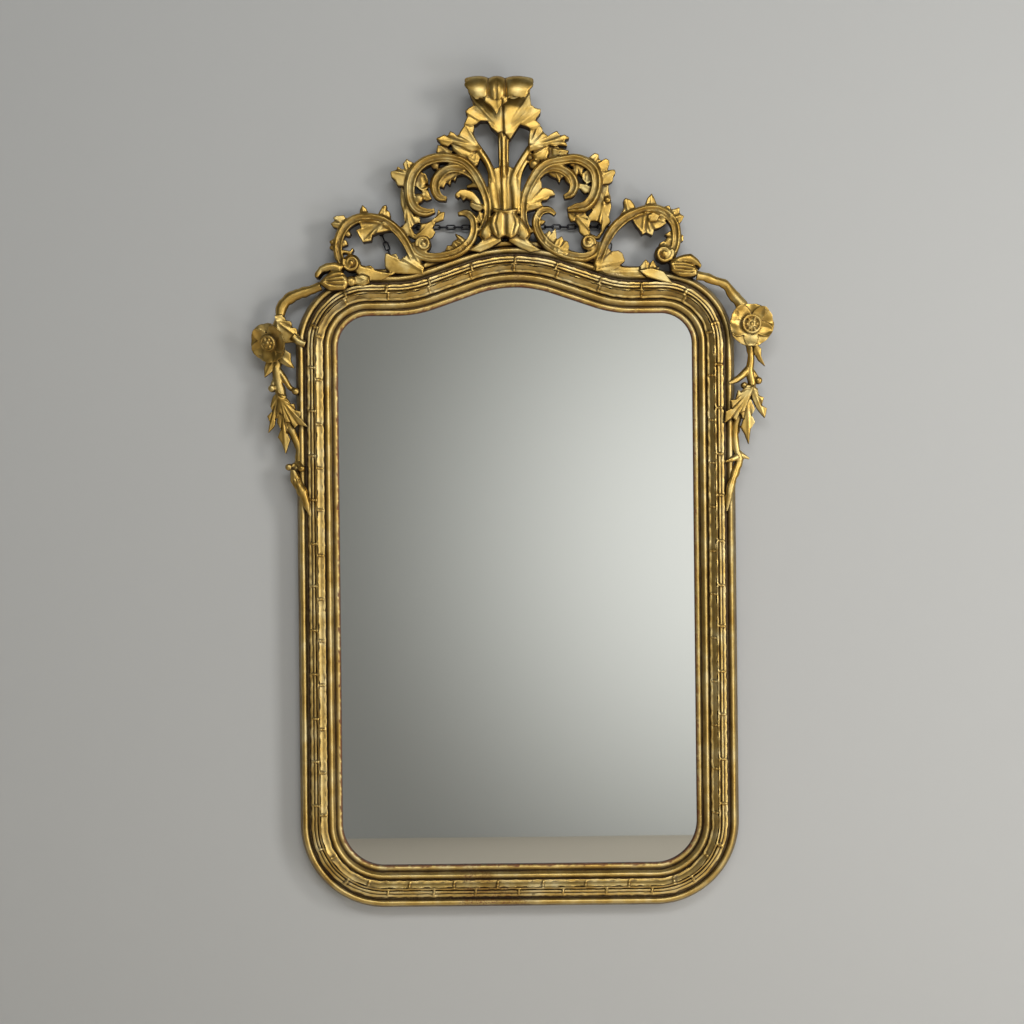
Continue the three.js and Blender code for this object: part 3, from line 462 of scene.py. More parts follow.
def band(points, widths, heights, wise=1):
    """A C-scroll ribbon. Wise is 1 when it turns left as it goes, so that its right is its outside."""
    count = max(8, round(smooth_line(points, 9)[2] / 3.2))
    line = smooth_line(points, count)
    share = np.linspace(0, 1, count)
    half = read(widths, share)[:, None] / 2
    front = read(heights, share)[:, None]
    side = wise * np.array([s for s, _ in BAND_SECTION])[None, :]
    drop = np.array([0 if d == "back" else d for _, d in BAND_SECTION])[None, :]
    behind = np.array([d == "back" for _, d in BAND_SECTION])[None, :]
    height = np.maximum(front - drop * half, CARVING_BACK + 2)
    height = np.where(behind, CARVING_BACK, height)
    return swept("band", line, (side * half, height))


def stem(points, widths, heights, back=None, flat=0.85, knots=0.0, seed=1):
    """A rod with a rounded front. Its height list gives its crown, off the wall."""
    length = smooth_line(points, 9)[2]
    count = max(8, round(length / 3.0))
    line = smooth_line(points, count)
    share = np.linspace(0, 1, count)
    half = read(widths, share)[:, None] / 2
    lumps = knots * wander(share * length, 30, seed, closing=max(length, 60) * 2)[:, None]
    half = half * (1 + lumps)
    crown = read(heights, share)[:, None]
    turn = np.linspace(0, 2 * math.pi, 14, endpoint=False)[None, :]
    sideways = -np.cos(turn) * half
    lift = np.sin(turn)
    height = crown - flat * half + lift * half * flat
    if back is not None:
        height = np.where(lift < -0.3, back, height)
    return swept("stem", line, (sideways, height))


def blade(outline, front, root=None, thick=None, ridge=1.2, cut=2.0, cup=0.0):
    """A leaf or plate sawn to an outline, and noted down to be modelled once all is one skin."""
    spots = np.array(outline, float)
    signed = np.sum(spots[:, 0] * np.roll(spots[:, 1], -1) - np.roll(spots[:, 0], -1) * spots[:, 1])
    spots = spots if signed > 0 else spots[::-1]
    back = CARVING_BACK + 2 if thick is None else front - thick
    deselect()
    bpy.ops.mesh.primitive_circle_add(vertices=len(spots), radius=1, fill_type="NGON")
    sawn = bpy.context.object
    at_back = placed(spots[:, 0], spots[:, 1], np.full(len(spots), back))
    sawn.data.vertices.foreach_set("co", (at_back * MM).astype(np.float32).ravel())
    choose([sawn])
    bpy.ops.object.mode_set(mode="EDIT")
    bpy.ops.mesh.select_all(action="SELECT")
    bpy.ops.mesh.extrude_region_move(TRANSFORM_OT_translate={"value": (0, (back - front) * MM, 0)})
    bpy.ops.mesh.select_all(action="SELECT")
    bpy.ops.mesh.normals_make_consistent(inside=False)
    bpy.ops.object.mode_set(mode="OBJECT")
    carved_now.append(sawn)
    modelled_now.append(
        {"outline": spots, "front": front, "root": root, "ridge": ridge, "cut": cut, "cup": cup}
    )
    return sawn


def stroke(points, width, depth, low=0, high=200):
    """One pass of a gouge: a furrow along a line, or a ridge where the depth is below nought."""
    modelled_now.append({"line": points, "width": width, "depth": depth, "low": low, "high": high})


def dome(across, up, radius, front, back=CARVING_BACK + 2, flatten=0.7, ring=0):
    """A turned boss, such as a volute's eye, a bud or a bead: a rounded head on a drum."""
    segments, levels = 28, 9
    turn = np.linspace(0, 2 * math.pi, segments + 1)
    rise = np.linspace(0, math.pi / 2, levels)
    out = np.concatenate([[1.0], np.cos(rise)])[:, None] * radius
    out[-1] = 0.02
    height = np.concatenate([[back], front - radius * flatten * (1 - np.sin(rise))])[:, None]
    if ring:
        height = height - ring * np.exp(-(((out / radius - 0.62) / 0.12) ** 2)) * (height > back + 1)
    sideways = out * np.cos(turn)[None, :]
    upward = out * np.sin(turn)[None, :]
    rows = placed(across + sideways, up + upward, np.broadcast_to(height, sideways.shape))
    blank = grid_blank("dome", rows.shape[0], rows.shape[1], rows)
    close_blank(blank)
    carved_now.append(blank)
    return blank


VOLUTE_RIM = 0.34


def volute(across, up, radius, front, start, turns, wise):
    """The eye of a scroll: a boss with the ribbon's rim coiling in round it."""
    steps = 49
    share = np.linspace(0, 1, steps)
    angle = math.radians(start) + wise * 2 * math.pi * turns * share
    out = radius * (0.9 - 0.5 * share)
    line = [(across + r * math.cos(a), up + r * math.sin(a)) for r, a in zip(out, angle)][::3]
    rim = VOLUTE_RIM * radius
    stem(line, [rim * 1.3, rim, rim * 0.8], [front - 1, front, front - 1], back=CARVING_BACK + 2)
    dome(across, up, radius * 0.36, front + 1, flatten=0.8)
    dome(across, up, radius, front - 4, flatten=0.3)


# %% [markdown]
# The palmette is the middle of the crest: three stems rise from a fluted cup, two carry toothed
# side leaves, and the middle one opens to a plume whose head rolls forward and hangs over.

# %% The palmette
LOBE_CUT = 0.16
TEAR_DEPTH = 0.45
TEARS = 17
TEETH = 12.5


def rolled_head(centre, arc, widths, creases, thickness):
    """The plume's head, rolled up and over away from the wall. Creases part its lobes."""
    count, sides = 46, 73
    places, runs, _ = smooth_line(arc, count)
    share = np.linspace(0, 1, count)[:, None]
    half = read(widths, share[:, 0])[:, None] / 2
    side = np.linspace(-1, 1, sides)[None, :]
    edges = np.array([-1, *creases, 1])
    lobe = np.clip(np.searchsorted(edges, side[0], side="right") - 1, 0, len(edges) - 2)
    within = (side[0] - edges[lobe]) / (edges[lobe + 1] - edges[lobe])
    swell = np.sin(np.clip(within, 0, 1) * math.pi)[None, :] ** 0.6
    torn = np.abs(np.sin(side * TEARS + 0.6)) * (np.abs(side) > 0.3)
    reach = share * (1 - LOBE_CUT + LOBE_CUT * swell * (1 - TEAR_DEPTH * torn))
    place = np.stack([np.interp(reach, share[:, 0], places[:, k]) for k in range(2)], axis=-1)
    run = np.stack([np.interp(reach, share[:, 0], runs[:, k]) for k in range(2)], axis=-1)
    opened = np.clip(share * 3 - 0.6, 0, 1)
    teeth = np.abs(np.sin(share * TEETH + 0.4)) ** 0.7 * np.clip(share * 2 - 0.3, 0, 1)
    jagged = teeth * np.abs(side) ** 6
    faces = []
    for push in (0 * swell * opened, -thickness * (0.5 + 0.5 * swell * opened)):
        push = np.broadcast_to(push, reach.shape)
        height = place[..., 0] + run[..., 1] * push
        up = place[..., 1] - run[..., 0] * push
        across = centre + side * half * (0.93 + 0.16 * jagged)
        faces.append(placed(across, up, height))
    rows = np.concatenate([faces[0], faces[1][:, ::-1], faces[0][:, :1]], axis=1)
    blank = grid_blank("rolled_head", rows.shape[0], rows.shape[1], rows)
    close_blank(blank)
    carved_now.append(blank)
    return blank


def palmette():
    blade([(-32, 108), (-43, 130), (-44, 172), (-40, 196), (-12, 204), (6, 196), (13, 172), (14, 130),
           (18, 108)], 50, root=(-14, 100), ridge=0, cut=0)
    for foot, waist, top in ((-30, -37, -42), (-14, -15, -16), (8, 8, 2)):
        stem([(foot, 106), (waist, 140), (top, 196)], [13, 18, 14], [55, 54, 51], back=CARVING_BACK, flat=0.4)
    for foot, top in ((-20, -23), (-9, -10)):
        stroke([(foot, 110), (top, 170), (top, 210)], 3, 1.6)
    stem([(-15, 180), (-17, 222), (-17, 272)], [20, 22, 24], [54, 51, 50], back=CARVING_BACK)
    for shift in (-6, 6):
        stroke([(-16 + shift, 182), (-17 + shift, 262)], 4, 2.6)
    stem([(-70, 240), (-58, 223), (-47, 204), (-40, 182), (-37, 156)], [15, 15, 15, 14, 12],
         [51, 53, 54, 54, 52], back=CARVING_BACK)
    stem([(36, 238), (25, 221), (13, 201), (4, 182), (-1, 160)], [14, 14, 14, 13, 12], [51, 53, 54, 54, 52],
         back=CARVING_BACK)
    stem([(30, 214), (18, 190), (14, 162), (15, 122)], [8, 8, 8, 8], [48, 50, 52, 52], back=CARVING_BACK)
    blade([(-153, 256), (-140, 262), (-136, 264), (-129, 261), (-124, 271), (-117, 268), (-109, 261),
           (-102, 273), (-94, 284), (-84, 280), (-75, 280), (-78, 268), (-70, 251), (-59, 236), (-82, 229),
           (-119, 248), (-129, 240), (-142, 244), (-149, 253)], 53, root=(-64, 238))
    blade([(-122, 246), (-119, 232), (-104, 219), (-86, 216), (-74, 226), (-82, 232), (-104, 240)], 49,
          root=(-76, 230), cup=-2)
    blade([(-149, 245), (-153, 230), (-144, 226), (-124, 218), (-120, 232), (-136, 243)], 45,
          root=(-122, 226))
    blade([(-90, 208), (-90, 220), (-79, 225), (-72, 229), (-64, 221), (-68, 204), (-80, 196)], 50,
          root=(-72, 206))
    blade([(36, 274), (45, 271), (54, 282), (60, 279), (62, 270), (72, 261), (81, 267), (90, 272),
           (97, 262), (106, 264), (116, 257), (101, 251), (109, 248), (111, 240), (96, 243), (86, 240),
           (76, 243), (52, 234), (34, 230), (32, 250)], 53, root=(36, 240))
    blade([(38, 226), (51, 233), (74, 242), (75, 228), (70, 216), (60, 212), (46, 213)], 49, root=(40, 222),
          cup=-2)
    blade([(74, 242), (88, 242), (97, 232), (92, 219), (84, 211), (74, 214)], 44, root=(74, 238))
    blade([(80, 238), (98, 239), (115, 233), (110, 226), (98, 223), (82, 224)], 46, root=(80, 232))
    dome(45, 206, 11, 53)
    dome(36, 221, 7, 46)


def plume():
    blade([(-74, 324), (-86, 318), (-94, 310), (-89, 302), (-93, 292), (-97, 283), (-84, 281), (-72, 284),
           (-64, 291), (-49, 291), (-42, 277), (-29, 266), (-19, 271), (-4, 254), (4, 266), (16, 284),
           (30, 279), (41, 272), (49, 274), (57, 284), (47, 294), (57, 307), (58, 315), (47, 317),
           (38, 324), (36, 346), (-22, 352), (-86, 346)], 54, root=(-16, 262), ridge=1.0, cut=0.6)
    stroke([(-17, 262), (-18, 290), (-20, 330)], 3.4, 2.6)
    for side, high in ((-1, 316), (1, 318)):
        stroke([(-18 + side * 12, 280), (-18 + side * 34, 298), (-18 + side * 60, high)], 7, 0.9)
    rolled_head(-26, [(44, 316), (45, 336), (51, 354), (64, 366), (77, 362), (83, 346), (81, 323)],
                [108, 116, 124, 128, 128, 126, 122], (-0.34, 0.2), 11)
    blade([(-55, 334), (-55, 321), (-44, 314), (-36, 304), (-31, 296), (-26, 308), (-19, 316), (-9, 322),
           (-9, 334)], 88, root=(-31, 340), thick=10)
    blade([(20, 372), (36, 370), (44, 364), (34, 358), (20, 358)], 80, root=(20, 366), thick=14)
    for crease in (-48, -13):
        stroke([(crease, 378), (crease, 330)], 4, 2.5, low=70)
    stroke([(-31, 366), (-31, 300)], 5, 1.8, low=70)


CUP_MIDDLE = -14


def from_cup(side, points):
    """Places given as out from the cup's middle and up, on its left (-1) or right (1)."""
    return [(CUP_MIDDLE + side * out, up) for out, up in points]


def calyx():
    """The cup: two broad petals in front, two behind, and two feet that spread along the rail."""
    for side in (-1, 1):
        blade(from_cup(side, [(0.5, 110), (17, 108), (28, 97), (31, 80), (24, 63), (12, 54), (1, 60)]), 65,
              root=(CUP_MIDDLE + side * 10, 112), cup=-3, ridge=0)
        stroke(from_cup(side, [(14, 108), (20, 84), (14, 58)]), 4, 2, low=55)
        blade(from_cup(side, [(20, 108), (33, 93), (46, 75), (49, 62), (40, 53), (28, 58), (24, 84)]), 58,
              root=(CUP_MIDDLE + side * 24, 104), cup=-2, ridge=0)
        blade(from_cup(side, [(8, 58), (28, 64), (42, 56), (57, 43), (72, 32), (50, 28), (28, 38),
                              (8, 50)]), 54, root=(CUP_MIDDLE + side * 8, 56))
        blade(from_cup(side, [(34, 66), (48, 76), (52, 62), (44, 50), (36, 52)]), 52,
              root=(CUP_MIDDLE + side * 34, 56))
    stem([(-38, 111), (CUP_MIDDLE, 107), (10, 111)], [6, 6, 6], [66, 71, 66], back=CARVING_BACK)


# %% [markdown]
# Two pairs of C-scrolls flank the palmette. The inner pair curls over itself and ends in leaves,
# and a low scroll with a volute supports it. The outer pair leans outwards to a volute at the
# shoulder, where a husk of folded petals ends the crest. A thin pierced ground ties them together.
# The two sides were cut by the same hand but not to the same lines, so each has its own list.

# %% The scrolls on the left


def left_scrolls():
    band([(-62, 70), (-51, 92), (-48, 115), (-51, 136), (-60, 160), (-76, 188), (-97, 208), (-124, 216),
          (-152, 216), (-178, 207), (-196, 189), (-204, 168), (-205, 145), (-200, 126), (-188, 113),
          (-170, 109), (-155, 113)], [15, 16, 16, 17, 18, 19, 19, 19, 20, 21, 22, 22, 22, 21, 20, 19, 9],
         [50, 53, 57, 61, 62, 60, 57, 52, 48])
    band([(-64, 156), (-78, 180), (-96, 192), (-120, 196), (-140, 188), (-153, 172), (-154, 153), (-146, 140),
          (-131, 136)],
         [10, 15, 17, 18, 19, 21, 21, 18, 10], [50, 55, 59, 60, 56, 52, 48])
    band([(-200, 48), (-191, 28), (-168, 19), (-142, 19), (-116, 25), (-94, 38), (-80, 56), (-75, 78),
          (-79, 98), (-92, 109), (-109, 107)], [14, 17, 19, 19, 19, 19, 19, 18, 17, 16, 7],
         [50, 51, 52, 53, 52, 49, 44])
    volute(-178, 45, 16, 57, start=200, turns=1.3, wise=-1)
    blade([(-223, 162), (-225, 142), (-224, 127), (-219, 110), (-215, 90), (-223, 80), (-212, 66), (-200, 58),
           (-196, 68), (-202, 80), (-197, 87), (-186, 90), (-184, 98), (-196, 104), (-204, 124), (-208, 146),
           (-208, 164)], 38, root=(-212, 124))
    blade([(-188, 100), (-184, 88), (-174, 89), (-164, 93), (-152, 104), (-148, 118), (-144, 111),
           (-135, 112), (-138, 96), (-154, 90), (-159, 80), (-154, 71), (-160, 60), (-172, 54), (-198, 56),
           (-196, 66), (-187, 71), (-184, 84)], 38, root=(-160, 96))
    blade([(-192, 206), (-204, 211), (-211, 216), (-219, 206), (-215, 193), (-224, 197), (-230, 202),
           (-231, 194), (-244, 190), (-243, 180), (-234, 172), (-230, 162), (-212, 160), (-202, 180)], 51,
          root=(-202, 184))
    blade([(-88, 194), (-112, 192), (-132, 188), (-146, 174), (-143, 160), (-137, 157), (-132, 169),
           (-124, 162), (-121, 175), (-114, 170), (-110, 182), (-98, 184)], 53, root=(-96, 194))
    dome(-154, 203, 8, 55, ring=1.5)
    dome(-187, 137, 10, 54)
    blade([(-193, 174), (-184, 189), (-173, 186), (-168, 172), (-169, 157), (-180, 151), (-191, 160)], 50,
          root=(-182, 188), cup=3)
    stroke([(-171, 167), (-170, 163)], 7, 9, low=40)
    blade([(-181, 154), (-168, 153), (-161, 136), (-172, 132), (-180, 138)], 47, root=(-182, 148))
    stem([(-58, 156), (-74, 163), (-91, 160)], [9, 10, 7], [52, 54, 50], back=CARVING_BACK)
    blade([(-115, 142), (-112, 148), (-104, 154), (-94, 155), (-78, 150), (-66, 136), (-56, 116),
           (-66, 110), (-79, 116), (-85, 122), (-83, 133), (-92, 137), (-98, 131), (-104, 141),
           (-108, 136)], 53, root=(-60, 118))
    blade([(-84, 38), (-92, 54), (-102, 62), (-115, 67), (-111, 59), (-110, 55), (-117, 52), (-108, 43),
           (-98, 33)], 49, root=(-88, 40))
    blade([(-98, 33), (-106, 46), (-119, 51), (-122, 43), (-130, 43), (-134, 33), (-144, 28), (-120, 22)], 47,
          root=(-104, 30))
    blade([(-56, 78), (-48, 86), (-50, 102), (-66, 112), (-72, 96)], 48, root=(-60, 84))


def left_outer_scroll():
    band([(-184, -2), (-198, 20), (-212, 48), (-230, 72), (-252, 89), (-278, 97), (-304, 97), (-326, 88),
          (-341, 70), (-349, 47), (-348, 23), (-338, 0)], [16, 17, 18, 19, 19, 19, 19, 20, 20, 19, 18, 16],
         [47, 52, 56, 58, 57, 55, 53, 51])
    volute(-322, 7, 18, 57, start=150, turns=1.3, wise=1)
    blade([(-306, 100), (-305, 114), (-300, 124), (-292, 117), (-284, 98)], 50, root=(-296, 98))
    blade([(-274, 94), (-265, 112), (-259, 122), (-251, 124), (-252, 114), (-245, 110), (-242, 84)], 50,
          root=(-258, 94))
    blade([(-328, 90), (-337, 103), (-352, 102), (-359, 98), (-355, 92), (-364, 86), (-359, 79),
           (-342, 74)], 51, root=(-336, 84))
    blade([(-350, 60), (-360, 55), (-367, 50), (-363, 44), (-367, 37), (-349, 28)], 49, root=(-350, 44))
    blade([(-306, 92), (-303, 76), (-313, 73), (-308, 63), (-299, 48), (-282, 51), (-280, 62), (-271, 66),
           (-254, 70), (-236, 72), (-252, 88), (-280, 95)], 54, root=(-256, 88), ridge=2, cup=1.5)
    dome(-329, 66, 6, 50)
    blade([(-348, 56), (-332, 53), (-329, 44), (-348, 36)], 48, root=(-348, 46))
    stem([(-348, 30), (-334, 30), (-324, 29), (-319, 37)], [9, 7, 6, 5], [50, 50, 48], back=CARVING_BACK)
    blade([(-254, 28), (-243, 24), (-232, 27), (-225, 13), (-216, 21), (-208, 24), (-192, 12), (-176, 0),
           (-178, -16), (-229, -14), (-246, -10), (-255, 0), (-256, 14)], 48, root=(-182, -6))
    blade([(-316, 2), (-307, 13), (-302, 3), (-293, 1), (-284, 3), (-274, -6), (-262, -10), (-236, -14),
           (-262, -28), (-288, -28), (-312, -14)], 49, root=(-240, -18))
    blade([(-314, -20), (-300, -16), (-286, -21), (-285, -33), (-298, -40), (-313, -36)], 55,
          root=(-288, -28))
    blade([(-336, 0), (-354, 7), (-372, 5), (-385, -2), (-394, -15), (-394, -23), (-388, -24), (-379, -13),
           (-362, -9), (-342, -12)], 62, root=(-338, -6), cup=-2)
    blade([(-386, -35), (-374, -23), (-362, -12), (-342, -9), (-330, -23), (-327, -36), (-333, -48),
           (-364, -50)], 65, root=(-330, -30), cup=-3)
    for rise in (-6, 1, 8):
        stroke([(-334, -30 + rise * 1.5), (-352, -31 + rise * 1.2), (-374, -31 + rise * 0.5)], 3.4, 2.2,
               low=56)
    dome(-322, -30, 10, 60)


# %% The scrolls on the right


def right_scrolls():
    band([(36, 66), (25, 86), (22, 110), (24, 134), (31, 155), (42, 176), (56, 195), (74, 207), (100, 212),
          (126, 215), (148, 208), (164, 194), (170, 174), (168, 152), (160, 134), (146, 121), (128, 118),
          (111, 114)], [15, 16, 16, 16, 17, 18, 19, 19, 19, 20, 21, 22, 22, 22, 22, 22, 20, 10],
         [50, 53, 57, 61, 62, 60, 57, 52, 48], wise=-1)
    band([(38, 152), (48, 176), (62, 191), (84, 197), (104, 192), (119, 180), (125, 162), (118, 146),
          (104, 140)], [10, 15, 17, 18, 19, 21, 21, 18, 10], [50, 55, 59, 60, 56, 52, 48], wise=-1)
    band([(173, 50), (166, 28), (146, 19), (120, 21), (92, 30), (68, 46), (53, 68), (48, 92), (58, 112),
          (75, 115), (87, 106)], [14, 17, 19, 19, 19, 19, 19, 18, 17, 16, 8], [50, 51, 52, 53, 52, 49, 44],
         wise=-1)
    volute(153, 48, 15, 57, start=-20, turns=1.3, wise=1)
    blade([(174, 166), (194, 168), (195, 152), (199, 140), (200, 122), (195, 102), (199, 90), (190, 82),
           (184, 70), (176, 56), (168, 60), (178, 72), (179, 86), (172, 93), (156, 94), (152, 102),
           (164, 120), (174, 140)], 38, root=(184, 128))
    blade([(111, 114), (113, 102), (118, 92), (127, 93), (134, 82), (135, 71), (146, 62), (172, 56),
           (172, 62), (158, 68), (155, 80), (158, 92), (151, 97), (148, 112), (130, 112)], 38,
          root=(130, 104))
    blade([(146, 212), (158, 222), (166, 228), (174, 225), (174, 217), (178, 212), (188, 217), (195, 213),
           (195, 204), (192, 196), (184, 191), (172, 186), (158, 200)], 51, root=(158, 200))
    blade([(172, 190), (184, 190), (196, 194), (206, 195), (208, 188), (203, 180), (202, 171), (194, 166),
           (174, 164)], 49, root=(172, 178))
    blade([(70, 188), (88, 196), (106, 192), (116, 180), (113, 166), (108, 171), (104, 181), (98, 176),
           (95, 167), (89, 177), (80, 180)], 53, root=(84, 194))
    dome(121, 206, 6, 55)
    blade([(122, 208), (134, 206), (143, 196), (139, 181), (134, 188), (129, 180), (123, 194)], 49,
          root=(130, 206))
    blade([(141, 186), (150, 193), (159, 184), (159, 171), (150, 165), (142, 174)], 51, root=(150, 192),
          cup=3)
    blade([(137, 168), (148, 165), (160, 162), (157, 150), (146, 147), (137, 156)], 46, root=(158, 158))
    blade([(28, 128), (34, 148), (46, 162), (55, 176), (60, 168), (59, 157), (68, 158), (82, 153), (87, 143),
           (76, 140), (70, 133), (58, 131), (62, 121), (44, 114), (28, 110)], 53, root=(30, 122))
    blade([(50, 96), (44, 106), (56, 96), (68, 92), (60, 84)], 48, root=(48, 88))
    blade([(60, 50), (66, 66), (76, 74), (79, 67), (87, 78), (89, 66), (89, 53), (78, 38)], 48, root=(66, 48))
    blade([(82, 34), (87, 52), (100, 62), (104, 52), (112, 51), (115, 40), (110, 24), (92, 26)], 51,
          root=(92, 30))
    dome(192, 135, 7, 46)


def right_outer_scroll():
    band([(166, -8), (176, 20), (188, 50), (204, 76), (226, 96), (248, 107), (270, 114), (292, 114),
          (312, 104), (326, 86), (330, 64), (328, 42), (320, 20)],
         [15, 17, 18, 20, 21, 20, 19, 19, 20, 20, 19, 18, 16], [47, 52, 56, 58, 57, 55, 53, 51], wise=-1)
    volute(305, 26, 19, 57, start=30, turns=1.3, wise=-1)
    blade([(240, 98), (246, 84), (255, 73), (261, 63), (268, 68), (281, 61), (285, 74), (296, 77), (309, 86),
           (302, 102), (284, 110), (260, 110)], 54, root=(266, 108), ridge=2, cup=1.5)
    blade([(270, 100), (282, 108), (296, 102), (290, 90), (274, 88)], 58, root=(284, 108))
    blade([(216, 102), (225, 119), (223, 133), (228, 138), (239, 133), (246, 123), (248, 108)], 50,
          root=(234, 104))
    blade([(264, 116), (271, 137), (280, 147), (285, 138), (294, 116)], 50, root=(280, 114))
    blade([(304, 112), (307, 121), (316, 123), (319, 114), (336, 119), (336, 107), (345, 101), (341, 92),
           (328, 78)], 51, root=(316, 98))
    blade([(328, 67), (344, 64), (344, 52), (328, 46)], 45, root=(328, 56), ridge=0)
    blade([(324, 76), (306, 65), (312, 60), (306, 52), (295, 47), (297, 39), (312, 40), (326, 50)], 48,
          root=(326, 60))
    blade([(164, 4), (176, 20), (184, 27), (194, 37), (199, 31), (214, 33), (222, 27), (227, 12), (217, 3),
           (196, -8), (168, -10)], 48, root=(170, 0))
    blade([(172, -4), (200, 3), (230, 0), (258, 0), (284, -12), (270, -24), (230, -20), (186, -14)], 46,
          root=(176, -10))
    blade([(256, 0), (268, 15), (276, 6), (283, 14), (290, 0), (281, -12), (260, -12)], 51, root=(272, -10))
    blade([(254, -8), (280, -3), (304, -10), (322, -35), (300, -30), (270, -22)], 54, root=(256, -14))
    blade([(318, 12), (336, 20), (346, 23), (358, 24), (371, 14), (379, 2), (377, -5), (368, 1), (358, 6),
           (340, 8), (320, 2)], 62, root=(322, 8), cup=-2)
    blade([(316, 8), (346, 8), (361, 3), (371, -8), (369, -19), (358, -22), (336, -22), (318, -10)], 65,
          root=(320, -4), cup=-3)
    for rise in (-7, 0, 7):
        stroke([(322, -5 + rise), (342, -6 + rise * 1.1), (364, -8 + rise * 0.8)], 3.4, 2.2, low=56)


def foot_strip():
    """The strip that the carving stands on, bent to the rail's outer edge between the shoulders."""
    reach = SIGHT_HALF_WIDTH - SHOULDER_RADIUS
    on_top = (np.abs(sight_x) <= reach) & (sight_z > SIGHT_BOTTOM / 2)
    order = np.argsort(sight_x[on_top])[::6]
    x, z, heading = (values[on_top][order] for values in (sight_x, sight_z, sight_heading))
    heading = np.where(heading < -math.pi, heading + 2 * math.pi, heading)
    corners = [(80, CARVING_BACK), (92, CARVING_BACK), (92, 34), (89, 41), (83, 41), (80, 38)]
    rows = []
    for out, height in corners + corners[:1]:
        across, up = x - np.sin(heading) * out, z + np.cos(heading) * out
        rows.append(np.stack([across, np.full(len(x), -height), up], -1))
    rows = np.stack(rows, axis=1)
    blank = grid_blank("foot_strip", rows.shape[0], rows.shape[1], rows)
    close_blank(blank)
    carved_now.append(blank)


# %% [markdown]
# Real carving is one piece of wood under one skin of gesso. The members overlap as roughed out, so
# a voxel remesh wraps them in one closed skin, which also softens each inner corner as gesso does.
# Before the mesh is thinned, each point is measured against a smoothed copy of the surface:
# a point below it lies in a hollow, where dirt and toning stay and where the gilding also paints
# shade, and one above it is on an edge, where the leaf is burnished bright or rubbed through.

# %% Wrapping the carving in one skin


def smoothed(points, edges, count, passes):
    """Each point moved to the mean of its neighbours, over and over."""
    first, second = edges[:, 0], edges[:, 1]
    shared = np.bincount(first, minlength=count) + np.bincount(second, minlength=count)
    moved = points.copy()
    for _ in range(passes):
        for k in range(3):
            total = np.bincount(first, moved[second, k], count) + np.bincount(second, moved[first, k], count)
            moved[:, k] = 0.5 * moved[:, k] + 0.5 * total / np.maximum(shared, 1)
    return moved


def mesh_arrays(mesh):
    points = np.empty(len(mesh.vertices) * 3, np.float32)
    mesh.vertices.foreach_get("co", points)
    edges = np.empty(len(mesh.edges) * 2, np.int32)
    mesh.edges.foreach_get("vertices", edges)
    normals = np.empty(len(mesh.vertices) * 3, np.float32)
    mesh.vertex_normals.foreach_get("vector", normals)
    return points.reshape(-1, 3).astype(float), edges.reshape(-1, 2), normals.reshape(-1, 3)


def measure_hollows(mesh, passes, scale):
    """How far each point lies below the smoothed surface, as a share of the scale in millimetres."""
    points, edges, normals = mesh_arrays(mesh)
    soft = smoothed(points, edges, len(points), passes)
    depth = np.sum((soft - points) * normals, axis=1)
    return np.clip(depth / (scale * MM), -1, 1)


def apply_modifier(piece, kind, **settings):
    modifier = piece.modifiers.new(kind.lower(), kind)
    for key, value in settings.items():
        setattr(modifier, key, value)
    choose([piece])
    bpy.ops.object.modifier_apply(modifier=modifier.name)


def write_attribute(piece, name, values):
    attribute = piece.data.attributes.new(name, "FLOAT", "POINT")
    attribute.data.foreach_set("value", np.asarray(values, np.float32))


def keep_main_body(piece):
    """Deletes the crumbs that a remesh leaves loose, and keeps the largest body."""
    _, edges, _ = mesh_arrays(piece.data)
    leader = np.arange(len(piece.data.vertices))
    while True:
        low = np.minimum(leader[edges[:, 0]], leader[edges[:, 1]])
        before = leader.copy()
        np.minimum.at(leader, edges[:, 0], low)
        np.minimum.at(leader, edges[:, 1], low)
        leader = leader[leader]
        if np.array_equal(leader, before):
            break
    names, counts = np.unique(leader, return_counts=True)
    loose = leader != names[np.argmax(counts)]
    choose([piece])
    bpy.ops.object.mode_set(mode="EDIT")
    bpy.ops.mesh.select_mode(type="VERT")
    bpy.ops.object.mode_set(mode="OBJECT")
    piece.data.polygons.foreach_set("select", np.zeros(len(piece.data.polygons), bool))
    piece.data.edges.foreach_set("select", np.zeros(len(piece.data.edges), bool))
    piece.data.vertices.foreach_set("select", loose)
    bpy.ops.object.mode_set(mode="EDIT")
    bpy.ops.mesh.delete(type="VERT")
    bpy.ops.object.mode_set(mode="OBJECT")


# %% [markdown]
# A blade comes from the saw as a flat shape. The carver then takes its edge down, leaves a ridge
# from each point of the edge to the root, and cuts a furrow in from each notch. The same is done
# here, by moving points of the finished skin to or from the wall. A stroke is one more gouge cut.

# %% Modelling the blades


def away_from_line(line, across, up):
    """The distance to a line of straight runs, and the share of the way along it, for each place."""
    spots = np.array(line, float)
    best = np.full(len(across), 1e9)
    share = np.zeros(len(across))
    for k, (start, end) in enumerate(zip(spots[:-1], spots[1:])):
        run = end - start
        along = ((across - start[0]) * run[0] + (up - start[1]) * run[1]) / max(run @ run, 1e-9)
        along = np.clip(along, 0, 1)
        away = np.hypot(across - start[0] - along * run[0], up - start[1] - along * run[1])
        nearer = away < best
        best = np.where(nearer, away, best)
        share = np.where(nearer, (k + along) / (len(spots) - 1), share)
    return best, share


def inside_outline(spots, across, up):
    """Whether each place lies inside a closed outline."""
    inside = np.zeros(len(across), bool)
    for (x0, z0), (x1, z1) in zip(spots, np.roll(spots, -1, axis=0)):
        if z0 != z1:
            crossed = (up < z0) != (up < z1)
            inside ^= crossed & (across < x0 + (up - z0) / (z1 - z0) * (x1 - x0))
    return inside


